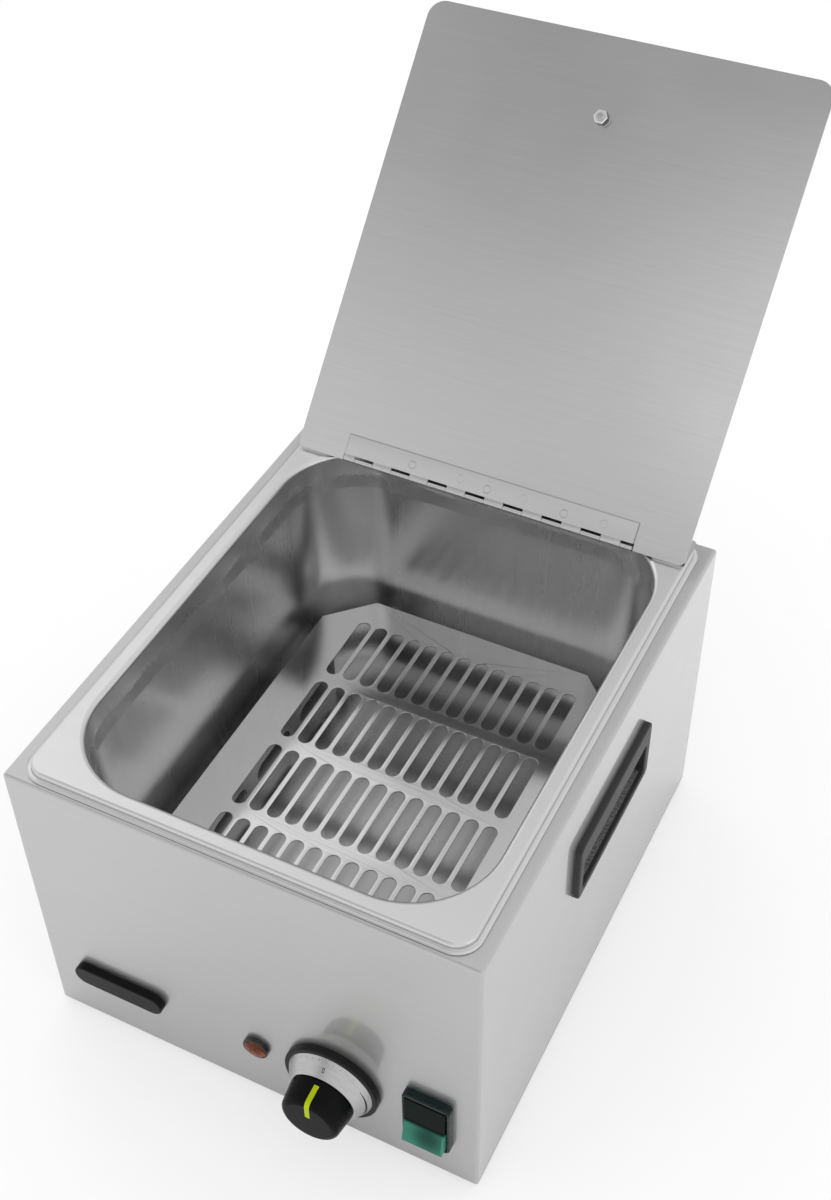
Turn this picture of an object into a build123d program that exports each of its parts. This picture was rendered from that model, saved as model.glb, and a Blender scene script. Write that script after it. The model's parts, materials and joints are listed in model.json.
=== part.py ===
from build123d import *

import os
from math import asin, atan2, cos, degrees, radians, sin, tan

# Sausage warmer: a countertop water bath with a lift-out false bottom and a hinged lid.
# Millimetres. +Z is up, the front panel faces -Y and +X is to the right seen from the front.
# The origin is the centre of the footprint, on the surface that the feet stand on.
# The lid is drawn open, leaning back on its stop.

os.makedirs("parts", exist_ok=True)

# Sheet, clearances and cutting
casing_sheet = 1.0
tank_sheet = 1.0
drop_in_gap = 0.3  # clearance round a part that drops into a cut-out
turning_gap = 0.05  # radial clearance of a turning fit
overrun = 5.0  # how far a cut runs past the faces that it goes through

# Well of the tank
well_width = 240.0
well_length = 300.0
well_depth = 150.0  # from the flange's face to the floor
well_corner = 50.0
well_draft = 2.5  # degrees
well_foot_radius = 28.0
shoulder_drop = 20.0  # from the flange down to the stacking shoulder
shoulder_step = 1.5
well_gap = 1.5  # between the tank's neck and the casing's opening

# Flange of the tank
flange_land = 10.0  # from the well's edge to the fold
flange_width = well_width + 2 * flange_land
flange_length = well_length + 2 * flange_land
flange_corner = 12.0
flange_fold = 2.0
toe_width = 2.5
neck_roll = 3.0  # radius where the neck rolls over into the flange
seal_width = 4.5

# Casing
ledge_side = 7.5  # ledge left beside the tank's flange
ledge_end = 2.5  # ledge left before and behind it
casing_width = flange_width + 2 * (toe_width + ledge_side)
casing_depth = flange_length + 2 * (toe_width + ledge_end)
casing_top = 213.0  # height of the ledge
flange_rise = 5.0  # from the ledge to the flange's face
flange_top = casing_top + flange_rise
well_floor = flange_top - well_depth
casing_fold = 2.0  # outer radius of the folded edges
foot_proud = 2.5  # gap below the casing
bottom_lip = 12.0  # width of the lip folded in along the lower edges
service_margin = 22.0  # wall left beside the opening in the rear wall
service_width = casing_width - 2 * service_margin
service_bottom = 24.0
service_top = 178.0
service_corner = 8.0

# Grate
grate_side_gap = 17.0  # from the well's edge to the grate's edge
grate_end_gap = 16.0
grate_width = well_width - 2 * grate_side_gap
grate_length = well_length - 2 * grate_end_gap
grate_chamfer = 27.0
grate_sheet = 1.0
grate_height = 35.0
grate_top = well_floor + grate_height
slot_pitch = 12.2
slot_width = 9.0
slot_side_margin = 23.7
slot_end_margin = 20.0
slot_field_length = grate_length - 2 * slot_end_margin
slot_row_gap = 8.0
slot_columns = round((grate_width - 2 * slot_side_margin) / slot_pitch)
slot_rows = 4
grate_leg_length = 160.0
grate_leg_flange = 12.0
grate_leg_inset = 23.0
grate_leg_place = grate_width / 2 - grate_leg_inset  # from the middle to the leg's upright
grate_leg_window = 40.0
grate_leg_foot = 10.0  # height left standing above the windows and below them
grate_leg_windows = 3

# Piano hinge
leaf_sheet = 0.8
pin_radius = 1.0
hinge_length = 193.4
knuckle_length = 12.7
first_knuckle = 7.8  # cut end of the hinge stock
knuckle_gap = 0.3
hinge_inset = 14.3  # from the well's rear edge to the pin
hinge_pin_y = well_length / 2 - hinge_inset
lid_leaf_reach = 16.0
knuckle_notch = 3.0
roll_seam = 0.15

# Lid
lid_margin = 1.0  # flange left bare beside the shut lid
lid_width = flange_width - 2 * lid_margin
lid_sheet = 1.0
lid_front_lap = 1.7  # how far the shut lid reaches past the well's front edge
lid_reach = hinge_pin_y + well_length / 2 + lid_front_lap  # from the hinge pin to the lid's front edge
lid_heel = 1.2  # how far the lid's ends reach past the pin
lid_front_corner = 11.0
lid_rear_corner = 4.0
lid_lean = 47.5  # degrees above the horizontal when it rests on its stop

# Rear strip and its stop
strip_sheet = 1.0
strip_margin = 1.5  # flange left bare behind the strip
strip_rear = flange_length / 2 - strip_margin
strip_leaf_margin = 0.8  # strip left bare behind its leaf
strip_leaf_reach = strip_rear - hinge_pin_y - strip_leaf_margin
strip_corner = 3.0
stop_inset = 29.0  # from the lid's side to the end of the stop
stop_width = lid_width - 2 * stop_inset
stop_gap = 0.3
stop_relief = 1.5

# Lid knob and its fixing
lid_knob_inset = 48.8  # from the lid's front edge to the knob's axis
lid_knob_reach = lid_reach - lid_knob_inset  # from the hinge pin to that axis
lid_knob_radius = 17.0
lid_knob_height = 25.0
lid_knob_neck = 8.0
lid_knob_crown = 6.0
lid_stud_radius = 2.5
lid_stud_depth = 14.0
lid_nut_flats = 8.0
lid_nut_height = 4.0
lid_washer_radius = 5.0
lid_washer_sheet = 1.0
lid_stud_end = 1.5

# Carrying handles
handle_length = 105.0
handle_height = 44.5
handle_corner = 4.0
handle_edge = 1.2
handle_proud = 4.0
handle_y = 5.5
handle_bottom = 125.5
handle_wall = 1.5
handle_border = 6.0  # frame beside the finger opening
handle_sill = 4.5  # frame below the finger opening
finger_height = 25.0
pocket_depth = 18.5  # behind the casing's outer face
pocket_height = 36.0
pocket_corner = 3.0

# Thermostat knob
knob_inset = 88.9  # from the casing's right side
knob_x = casing_width / 2 - knob_inset
knob_z = 51.1
knob_ring_radius = 29.25
knob_ring_height = 4.5
knob_ring_edge = 1.0
scale_base_radius = 26.3
scale_top_radius = 20.5
scale_height = 9.5
scale_wall = 1.5
cap_base_radius = 19.5
cap_top_radius = 17.5
cap_height = 15.4
cap_lift = 0.4  # running gap between the scale and the cap
cap_edge = 4.0
cap_bore_depth = 12.0
indicator_width = 3.0
indicator_depth = 1.2
indicator_start = 8.0  # from the knob's axis
shaft_radius = 3.0
shaft_flat = 1.0

# Thermostat behind the panel
thermostat_width = 36.0
thermostat_height = 27.0
thermostat_depth = 24.0
thermostat_nose_radius = 5.0
thermostat_edge = 2.0
thermostat_screw_radius = 2.0
thermostat_screw_spacing = 28.0
thermostat_screw_length = 8.0
screw_head_radius = 3.5
screw_head_height = 2.0
bulb_radius = 3.0
bulb_length = 70.0
bulb_y = -20.0
clip_sheet = 0.8
clip_width = 12.0
clip_foot = 4.0
capillary_radius = 1.0
capillary_bend = 6.0
capillary_exit = 6.0
capillary_lead = 14.0

# Pilot lamp
lamp_x = 1.5
lamp_z = 48.5
lamp_bezel_radius = 8.0
lamp_bezel_height = 3.0
lamp_bezel_edge = 0.6
lamp_lens_radius = 7.0
lamp_lens_dome = 2.2
lamp_body_radius = 6.0
lamp_body_depth = 26.0
lamp_wall = 1.2
lamp_nut_flats = 15.0
lamp_nut_height = 3.0

# Rocker switch
switch_inset = 29.7  # from the casing's right side
switch_x = casing_width / 2 - switch_inset
switch_z = 55.1
switch_width = 28.8
switch_height = 45.0
switch_corner = 4.0
switch_edge = 1.0
switch_proud = 5.0
switch_body_width = 26.4
switch_body_height = 42.0
switch_body_depth = 21.0
switch_window_height = 39.6
switch_well_depth = 12.0
switch_side = 0.6
rocker_gap = 0.4
rocker_pivot_depth = 1.0  # behind the panel's face
rocker_valley = 7.4  # from the pivot to the valley of the rocker's face
rocker_tip = 9.0  # from the pivot to the ends of the rocker's face
rocker_tilt = 8.0  # degrees either side of level
rocker_belly = 7.0
rocker_pin_radius = 1.5
terminal_width = 6.3
terminal_sheet = 0.8
terminal_length = 9.0
terminal_pitch = 12.0

# Badge
badge_inset = 49.8  # from the casing's left side
badge_x = badge_inset - casing_width / 2
badge_z = 47.6
badge_length = 60.0
badge_height = 15.0
badge_thick = 4.8
badge_edge = 0.8

# Rear panel
panel_margin = 11.0  # overlap round the service opening
panel_corner = 4.0
vent_length = 30.0
vent_width = 4.0
vent_pitch = 9.0
vent_rows = 5
vent_columns = 3
vent_place_x = 66.0
vent_z = 120.0
panel_screw_radius = 2.0
screw_hole_gap = 0.2
panel_screw_length = 6.0
panel_screw_rows = 3

# Base plate, its screws and feet
base_sheet = 1.0
base_gap = 1.0
base_upstand = 10.0
base_vent_rows = 7
base_screw_rows = 3
foot_radius = 11.0
foot_neck_radius = 3.5
foot_collar_radius = 5.0
foot_collar_height = 2.5
foot_inset = 32.0
foot_edge = 0.8

# Cable gland in the rear panel
gland_inset = 34.0  # from the side of the service opening
gland_x = service_width / 2 - gland_inset
gland_z = 48.0
gland_bore_radius = 4.2
gland_thread_radius = 8.0
gland_flats = 22.0
gland_dome_radius = 10.0
gland_dome_length = 13.0
gland_hex_length = 5.0
gland_inner_length = 12.0
gland_nut_flats = 22.0
gland_nut_height = 4.0
gland_edge = 2.0

# Heater under the tank
spreader_width = 130.0
spreader_length = 190.0
spreader_sheet = 3.0
spreader_corner = 8.0
bulb_inset = 9.0  # from the spreader's side to the thermostat's bulb
bulb_x = spreader_width / 2 + bulb_inset
heater_radius = 4.0
heater_gap = 0.1
heater_run_place = 44.0  # outer runs, from the middle
heater_inner_place = 16.0
heater_front = -70.0
heater_rear = 70.0
heater_bend = 12.0
heater_cold_end = 24.0
heater_pin_radius = 1.5
heater_pin_length = 8.0
clamp_sheet = 2.0
clamp_width = 18.0
clamp_length = 122.0
clamp_place = 42.0
clamp_stud_place = 30.0
stud_radius = 2.5
stud_end = 2.0
stud_nut_flats = 8.0
stud_nut_height = 4.0
cutout_radius = 8.0
cutout_height = 9.0
cutout_flange_radius = 11.0
cutout_flange_sheet = 1.0

# Terminal block and protective earth
block_length = 44.0
block_width = 18.0
block_height = 16.0
block_x = 70.0
block_inset = 55.0  # from the casing's rear
block_y = casing_depth / 2 - block_inset
block_ways = 5
block_edge = 1.0
block_screw_radius = 2.0
block_recess = 3.0
block_way_radius = 2.2
earth_x = 20.0
earth_inset = 35.0  # from the casing's rear
earth_y = casing_depth / 2 - earth_inset
earth_stud_radius = 3.0
earth_stud_length = 18.0
earth_nut_flats = 10.0
earth_nut_height = 5.0

# Heights and planes worked out from the sizes above
casing_height = casing_top - foot_proud
flange_under = flange_top - tank_sheet
shoulder_top = flange_top - shoulder_drop
tank_under = well_floor - tank_sheet
base_under = foot_proud + casing_sheet
base_top = base_under + base_sheet
knuckle_bore = pin_radius + turning_gap
knuckle_radius = knuckle_bore + leaf_sheet
hinge_pin_z = flange_top + knuckle_radius
leaf_rise = knuckle_bore  # from the pin's axis to the leaf's near face
lid_face = leaf_rise - lid_sheet  # lid's outer face, along the inner normal from the pin
strip_under = flange_top + leaf_sheet

front_plane = Plane.XZ.offset(casing_depth / 2)
panel_back = front_plane.offset(-casing_sheet)
right_plane = Plane.YZ.offset(casing_width / 2)
rear_plane = Plane(origin=(0, casing_depth / 2, 0), x_dir=(-1, 0, 0), z_dir=(0, 1, 0))
lean_cos = cos(radians(lid_lean))
lean_sin = sin(radians(lid_lean))
lid_plane = Plane(
    origin=(0, hinge_pin_y, hinge_pin_z), x_dir=(1, 0, 0), z_dir=(0, -lean_sin, lean_cos)
)


def finish(part, name):
    part.label = name
    export_step(part, f"parts/{name}.step")


def dome_arc(rim, foot, rise, out=1):
    # arc of a ball from the rim to the axis, so that it revolves into a dome
    ball = (rim * rim + rise * rise) / (2 * rise)
    half_angle = asin(rim / ball) / 2
    top = foot + rise
    middle = (ball * sin(half_angle), top - ball + ball * cos(half_angle))
    ThreePointArc((rim, out * foot), (middle[0], out * middle[1]), (0, out * top))


# Casing: folded sheet with a ledge round the tank and a lip along the lower edges
handle_mid_z = handle_bottom + handle_height / 2
sill_z = handle_bottom + handle_sill
pocket_mid_z = sill_z + pocket_height / 2
service_mid_z = (service_bottom + service_top) / 2
service_height = service_top - service_bottom
handle_body_length = handle_length - 2 * handle_border + 2 * handle_wall
handle_body_height = pocket_height + 2 * handle_wall
with BuildPart() as casing_shell:
    with BuildSketch(Plane.XY.offset(foot_proud)):
        Rectangle(casing_width, casing_depth)
    extrude(amount=casing_height)
    fillet(casing_shell.edges().filter_by(Axis.Z), casing_fold)
    fillet(casing_shell.faces().sort_by(Axis.Z)[-1].edges(), casing_fold)
    offset(amount=-casing_sheet, openings=casing_shell.faces().sort_by(Axis.Z)[0])
    with BuildSketch(Plane.XY.offset(foot_proud)):
        Rectangle(casing_width - casing_sheet, casing_depth - casing_sheet)
        Rectangle(
            casing_width - 2 * (casing_sheet + bottom_lip),
            casing_depth - 2 * (casing_sheet + bottom_lip),
            mode=Mode.SUBTRACT,
        )
    extrude(amount=casing_sheet)
    # opening for the tank
    neck_outer_width = well_width + 2 * tank_sheet
    neck_outer_length = well_length + 2 * tank_sheet
    with BuildSketch(Plane.XY.offset(casing_top - casing_sheet - overrun)):
        RectangleRounded(
            neck_outer_width + 2 * well_gap,
            neck_outer_length + 2 * well_gap,
            well_corner + tank_sheet + well_gap,
        )
    extrude(amount=casing_sheet + 2 * overrun, mode=Mode.SUBTRACT)
    # openings in the front panel
    with BuildSketch(panel_back.offset(-overrun)):
        with Locations((knob_x, knob_z)):
            Circle(thermostat_nose_radius + drop_in_gap)
        for side in (-1, 1):
            with Locations((knob_x + side * thermostat_screw_spacing / 2, knob_z)):
                Circle(thermostat_screw_radius + drop_in_gap)
        with Locations((lamp_x, lamp_z)):
            Circle(lamp_body_radius + drop_in_gap)
        with Locations((switch_x, switch_z)):
            Rectangle(switch_body_width + 2 * drop_in_gap, switch_body_height + 2 * drop_in_gap)
    extrude(amount=casing_sheet + 2 * overrun, mode=Mode.SUBTRACT)
    # openings for the handles, through both sides
    with BuildSketch(Plane.YZ):
        with Locations((handle_y, pocket_mid_z)):
            Rectangle(handle_body_length + 2 * drop_in_gap, handle_body_height + 2 * drop_in_gap)
    extrude(amount=casing_width / 2 + overrun, both=True, mode=Mode.SUBTRACT)
    # service opening in the rear wall
    with BuildSketch(rear_plane.offset(-casing_sheet - overrun)):
        with Locations((0, service_mid_z)):
            RectangleRounded(service_width, service_height, service_corner)
    extrude(amount=casing_sheet + 2 * overrun, mode=Mode.SUBTRACT)
    # holes for the rear panel's screws
    panel_screw_x = service_width / 2 + panel_margin / 2
    panel_screw_z = service_height / 2 - service_corner
    with BuildSketch(rear_plane.offset(-casing_sheet - overrun)):
        with Locations((0, service_mid_z)):
            with GridLocations(2 * panel_screw_x, panel_screw_z, 2, panel_screw_rows):
                Circle(panel_screw_radius + screw_hole_gap)
    extrude(amount=casing_sheet + 2 * overrun, mode=Mode.SUBTRACT)
    # holes for the base plate's screws
    base_screw_x = casing_width / 2 - casing_sheet - bottom_lip / 2
    base_screw_y = casing_depth / 2 - 2 * foot_inset
    with BuildSketch(Plane.XY.offset(foot_proud - overrun)):
        with GridLocations(2 * base_screw_x, base_screw_y, 2, base_screw_rows):
            Circle(panel_screw_radius + screw_hole_gap)
    extrude(amount=casing_sheet + 2 * overrun, mode=Mode.SUBTRACT)
finish(casing_shell.part, "casing_shell")

# Rear panel with vent slots, the gland's hole and its screw holes
panel_width = service_width + 2 * panel_margin
panel_height = service_height + 2 * panel_margin
with BuildPart() as rear_panel:
    with BuildSketch(rear_plane):
        with Locations((0, service_mid_z)):
            RectangleRounded(panel_width, panel_height, panel_corner)
            with GridLocations(2 * panel_screw_x, panel_screw_z, 2, panel_screw_rows):
                Circle(panel_screw_radius + screw_hole_gap, mode=Mode.SUBTRACT)
        with Locations((0, vent_z)):
            with GridLocations(vent_place_x, vent_pitch, vent_columns, vent_rows):
                SlotOverall(vent_length, vent_width, mode=Mode.SUBTRACT)
        with Locations((-gland_x, gland_z)):
            Circle(gland_thread_radius + drop_in_gap, mode=Mode.SUBTRACT)
    extrude(amount=casing_sheet)
finish(rear_panel.part, "rear_panel")

# Screws of the rear panel, one group of equal pieces
with BuildPart() as rear_screws:
    with BuildSketch(rear_plane.offset(casing_sheet)):
        with Locations((0, service_mid_z)):
            with GridLocations(2 * panel_screw_x, panel_screw_z, 2, panel_screw_rows):
                Circle(screw_head_radius)
    extrude(amount=screw_head_height)
    fillet(rear_screws.edges().group_by(Axis.Y)[-1], screw_head_height / 2)
    with BuildSketch(rear_plane.offset(casing_sheet)):
        with Locations((0, service_mid_z)):
            with GridLocations(2 * panel_screw_x, panel_screw_z, 2, panel_screw_rows):
                Circle(panel_screw_radius)
    extrude(amount=-panel_screw_length)
finish(rear_screws.part, "rear_screws")

# Base plate: a tray inside the lip, with vent slots over the heater
base_width = casing_width - 2 * (casing_sheet + base_gap)
base_length = casing_depth - 2 * (casing_sheet + base_gap)
foot_x = casing_width / 2 - foot_inset
foot_y = casing_depth / 2 - foot_inset
with BuildPart() as base_plate:
    with BuildSketch(Plane.XY.offset(base_under)):
        Rectangle(base_width, base_length)
    extrude(amount=base_upstand)
    fillet(base_plate.edges().filter_by(Axis.Z), casing_fold)
    offset(amount=-base_sheet, openings=base_plate.faces().sort_by(Axis.Z)[-1])
    with BuildSketch(Plane.XY.offset(base_under - overrun)):
        with GridLocations(2 * base_screw_x, base_screw_y, 2, base_screw_rows):
            Circle(panel_screw_radius + screw_hole_gap)
        with GridLocations(2 * foot_x, 2 * foot_y, 2, 2):
            Circle(foot_neck_radius + screw_hole_gap)
        with GridLocations(vent_place_x, vent_pitch, vent_columns, base_vent_rows):
            SlotOverall(vent_length, vent_width)
    extrude(amount=base_sheet + 2 * overrun, mode=Mode.SUBTRACT)
finish(base_plate.part, "base_plate")

# Screws that hold the base plate on the lip, from below
with BuildPart() as base_screws:
    with BuildSketch(Plane.XY.offset(foot_proud)):
        with GridLocations(2 * base_screw_x, base_screw_y, 2, base_screw_rows):
            Circle(screw_head_radius)
    extrude(amount=-screw_head_height)
    fillet(base_screws.edges().group_by(Axis.Z)[0], screw_head_height / 2)
    with BuildSketch(Plane.XY.offset(foot_proud)):
        with GridLocations(2 * base_screw_x, base_screw_y, 2, base_screw_rows):
            Circle(panel_screw_radius)
    extrude(amount=panel_screw_length)
finish(base_screws.part, "base_screws")

# Rubber feet pushed through the base plate, held by their collars
for across, across_name in ((-1, "left"), (1, "right")):
    for along, along_name in ((-1, "front"), (1, "rear")):
        place = (across * foot_x, along * foot_y)
        with BuildPart() as foot:
            with BuildSketch(Plane.XY):
                with Locations(place):
                    Circle(foot_radius)
            extrude(amount=base_under)
            fillet(foot.edges().group_by(Axis.Z)[0], foot_edge)
            with BuildSketch(Plane.XY.offset(base_under)):
                with Locations(place):
                    Circle(foot_neck_radius)
            extrude(amount=base_sheet)
            with BuildSketch(Plane.XY.offset(base_top)):
                with Locations(place):
                    Circle(foot_collar_radius)
            extrude(amount=foot_collar_height, taper=degrees(atan2(foot_edge, foot_collar_height)))
        finish(foot.part, f"foot_{along_name}_{across_name}")

# Water tank: deep-drawn well with a stacking shoulder and a turned-down flange.
# Its outer and inner forms differ by the sheet's thickness.
tank_forms = []
for skin, neck_rise in ((tank_sheet, shoulder_drop - tank_sheet), (0, shoulder_drop + overrun)):
    with BuildPart() as form:
        body_width = well_width - 2 * shoulder_step + 2 * skin
        body_length = well_length - 2 * shoulder_step + 2 * skin
        with BuildSketch(Plane.XY.offset(shoulder_top - shoulder_step)):
            RectangleRounded(body_width, body_length, well_corner - shoulder_step + skin)
        extrude(amount=well_floor - skin - shoulder_top + shoulder_step, taper=well_draft)
        fillet(form.faces().sort_by(Axis.Z)[0].edges(), well_foot_radius + skin)
        with BuildSketch(Plane.XY.offset(shoulder_top)):
            RectangleRounded(well_width + 2 * skin, well_length + 2 * skin, well_corner + skin)
        extrude(amount=-shoulder_step, taper=45)
        with BuildSketch(Plane.XY.offset(shoulder_top)):
            RectangleRounded(well_width + 2 * skin, well_length + 2 * skin, well_corner + skin)
        extrude(amount=neck_rise)
    tank_forms.append(form.part)
tank_outer, tank_inner = tank_forms
skirt_width = flange_width - 2 * tank_sheet
skirt_length = flange_length - 2 * tank_sheet
with BuildPart() as water_tank:
    with BuildSketch(Plane.XY.offset(casing_top)):
        RectangleRounded(flange_width, flange_length, flange_corner)
    extrude(amount=flange_top - casing_top)
    fillet(water_tank.faces().sort_by(Axis.Z)[-1].edges(), flange_fold)
    with BuildSketch(Plane.XY.offset(casing_top)):
        RectangleRounded(
            flange_width + 2 * toe_width, flange_length + 2 * toe_width, flange_corner + toe_width
        )
    extrude(amount=tank_sheet)
    with BuildSketch(Plane.XY.offset(casing_top)):
        RectangleRounded(skirt_width, skirt_length, flange_corner - tank_sheet)
    extrude(amount=flange_under - casing_top, mode=Mode.SUBTRACT)
    add(tank_outer)
    under_face = water_tank.faces().filter_by_position(Axis.Z, flange_under, flange_under)[0]
    fillet(under_face.inner_wires()[0].edges(), neck_roll - tank_sheet)
    add(tank_inner, mode=Mode.SUBTRACT)
    land_face = water_tank.faces().filter_by_position(Axis.Z, flange_top, flange_top)[0]
    fillet(land_face.inner_wires()[0].edges(), neck_roll)
finish(water_tank.part, "water_tank")

# Seal between the flange and the ledge
seal_outer_width = skirt_width - 2 * tank_sheet
seal_outer_length = skirt_length - 2 * tank_sheet
with BuildPart() as flange_seal:
    with BuildSketch(Plane.XY.offset(casing_top)):
        RectangleRounded(seal_outer_width, seal_outer_length, flange_corner - tank_sheet)
        RectangleRounded(
            seal_outer_width - 2 * seal_width,
            seal_outer_length - 2 * seal_width,
            well_corner,
            mode=Mode.SUBTRACT,
        )
    extrude(amount=flange_under - casing_top)
finish(flange_seal.part, "flange_seal")

# Grate: sheet with its corners cut off and rows of obround slots
slot_length = (slot_field_length - (slot_rows - 1) * slot_row_gap) / slot_rows
with BuildPart() as grate:
    with BuildSketch(Plane.XY.offset(grate_top - grate_sheet)) as grate_face:
        Rectangle(grate_width, grate_length)
        chamfer(grate_face.vertices(), grate_chamfer)
        with GridLocations(slot_pitch, slot_length + slot_row_gap, slot_columns, slot_rows):
            SlotOverall(slot_length, slot_width, rotation=90, mode=Mode.SUBTRACT)
    extrude(amount=grate_sheet)
finish(grate.part, "grate")

# Legs of the grate: angles along its sides, with windows that let the water through
leg_height = grate_top - grate_sheet - well_floor
window_height = leg_height - 2 * grate_leg_foot
for side, side_name in ((-1, "left"), (1, "right")):
    upright = side * grate_leg_place
    with BuildPart() as grate_leg:
        with BuildSketch(Plane.XZ.offset(grate_leg_length / 2)):
            with BuildLine():
                Polyline(
                    (upright, well_floor),
                    (upright, grate_top - grate_sheet),
                    (upright + side * grate_leg_flange, grate_top - grate_sheet),
                    (upright + side * grate_leg_flange, grate_top - 2 * grate_sheet),
                    (upright + side * grate_sheet, grate_top - 2 * grate_sheet),
                    (upright + side * grate_sheet, well_floor),
                    close=True,
                )
            make_face()
        extrude(amount=-grate_leg_length)
        with BuildSketch(Plane.YZ.offset(upright - overrun)):
            with Locations((0, well_floor + leg_height / 2)):
                with GridLocations(grate_leg_length / grate_leg_windows, 0, grate_leg_windows, 1):
                    SlotOverall(grate_leg_window, window_height)
        extrude(amount=2 * overrun, mode=Mode.SUBTRACT)
    finish(grate_leg.part, f"grate_leg_{side_name}")

# Piano hinge. Knuckles of the two leaves alternate along the pin, starting with a cut one.
hinge_start = -hinge_length / 2
knuckles = [(hinge_start, hinge_start + first_knuckle)]
while knuckles[-1][1] < -hinge_start:
    knuckle_start = knuckles[-1][1]
    knuckles.append((knuckle_start, min(knuckle_start + knuckle_length, -hinge_start)))
lid_knuckles = knuckles[0::2]
strip_knuckles = knuckles[1::2]


def leaf_profile(reach):
    # a strip of sheet rolled round the pin, with a seam where the roll comes back to the leaf
    Circle(knuckle_radius)
    with Locations((reach / 2, leaf_rise + leaf_sheet / 2)):
        Rectangle(reach, leaf_sheet)
    Circle(knuckle_bore, mode=Mode.SUBTRACT)
    with Locations((knuckle_bore, leaf_rise - roll_seam / 2)):
        Rectangle(2 * leaf_sheet, roll_seam, mode=Mode.SUBTRACT)


def leaf_plate(reach):
    with Locations(((reach + knuckle_notch) / 2, leaf_rise + leaf_sheet / 2)):
        Rectangle(reach - knuckle_notch, leaf_sheet)


# Leaf spot-welded inside the lid
with BuildPart() as lid_hinge_leaf:
    for start, end in lid_knuckles:
        section = Plane(
            origin=(start + knuckle_gap / 2, hinge_pin_y, hinge_pin_z),
            x_dir=(0, lean_cos, lean_sin),
            z_dir=(1, 0, 0),
        )
        with BuildSketch(section):
            leaf_profile(lid_leaf_reach)
        extrude(amount=end - start - knuckle_gap)
    section = Plane(
        origin=(hinge_start + knuckle_gap / 2, hinge_pin_y, hinge_pin_z),
        x_dir=(0, lean_cos, lean_sin),
        z_dir=(1, 0, 0),
    )
    with BuildSketch(section):
        leaf_plate(lid_leaf_reach)
    extrude(amount=hinge_length - knuckle_gap)
finish(lid_hinge_leaf.part, "lid_hinge_leaf")

# Leaf that lies on the tank's flange, under the rear strip
with BuildPart() as strip_hinge_leaf:
    for start, end in strip_knuckles:
        section = Plane(
            origin=(end - knuckle_gap / 2, hinge_pin_y, hinge_pin_z),
            x_dir=(0, 1, 0),
            z_dir=(-1, 0, 0),
        )
        with BuildSketch(section):
            leaf_profile(strip_leaf_reach)
        extrude(amount=end - start - knuckle_gap)
    section = Plane(
        origin=(-hinge_start - knuckle_gap / 2, hinge_pin_y, hinge_pin_z),
        x_dir=(0, 1, 0),
        z_dir=(-1, 0, 0),
    )
    with BuildSketch(section):
        leaf_plate(strip_leaf_reach)
    extrude(amount=hinge_length - knuckle_gap)
finish(strip_hinge_leaf.part, "strip_hinge_leaf")

with BuildPart() as hinge_pin:
    with BuildSketch(Plane.YZ.offset(hinge_start)):
        with Locations((hinge_pin_y, hinge_pin_z)):
            Circle(pin_radius)
    extrude(amount=hinge_length)
finish(hinge_pin.part, "hinge_pin")

# Rear strip: level with the closed lid, its rear edge folded up as the lid's stop
strip_front = hinge_pin_y + knuckle_radius + drop_in_gap
stop_front = strip_rear - strip_sheet
stop_top = (
    hinge_pin_z
    + (stop_front - hinge_pin_y) * tan(radians(lid_lean))
    + (lid_face - stop_gap) / lean_cos
)
with BuildPart() as rear_strip:
    with BuildSketch(Plane.XY.offset(strip_under)) as strip_face:
        with Locations((0, (strip_front + strip_rear) / 2)):
            Rectangle(lid_width, strip_rear - strip_front)
        fillet(strip_face.vertices().group_by(Axis.Y)[-1], strip_corner)
        for side in (-1, 1):
            with Locations((side * (stop_width + stop_relief) / 2, strip_rear)):
                Rectangle(stop_relief, 2 * strip_corner, mode=Mode.SUBTRACT)
    extrude(amount=strip_sheet)
    with BuildSketch(Plane.XY.offset(strip_under)):
        with Locations((0, (stop_front + strip_rear) / 2)):
            Rectangle(stop_width, strip_sheet)
    extrude(amount=stop_top - strip_under)
    fold_edges = rear_strip.edges().filter_by(Axis.X).filter_by_position(
        Axis.Z, strip_under, strip_under
    )
    fillet(fold_edges.sort_by(Axis.Y)[-3:].sort_by(SortBy.LENGTH)[-1], strip_sheet)
finish(rear_strip.part, "rear_strip")

# Lid: flat sheet notched along the hinge, drawn in its own plane through the pin
with BuildPart() as lid_plate:
    with BuildSketch(lid_plane.offset(lid_face)) as lid_outline:
        with Locations((0, (lid_reach - lid_heel) / 2)):
            Rectangle(lid_width, lid_reach + lid_heel)
        fillet(lid_outline.vertices().group_by(Axis.Y)[-1], lid_front_corner)
        fillet(lid_outline.vertices().group_by(Axis.Y)[0], lid_rear_corner)
        with Locations((0, (knuckle_notch - lid_heel) / 2)):
            Rectangle(
                hinge_length + 2 * drop_in_gap, knuckle_notch + lid_heel, mode=Mode.SUBTRACT
            )
        with Locations((0, lid_knob_reach)):
            Circle(lid_stud_radius + screw_hole_gap, mode=Mode.SUBTRACT)
    extrude(amount=lid_sheet)
finish(lid_plate.part, "lid_plate")

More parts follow.
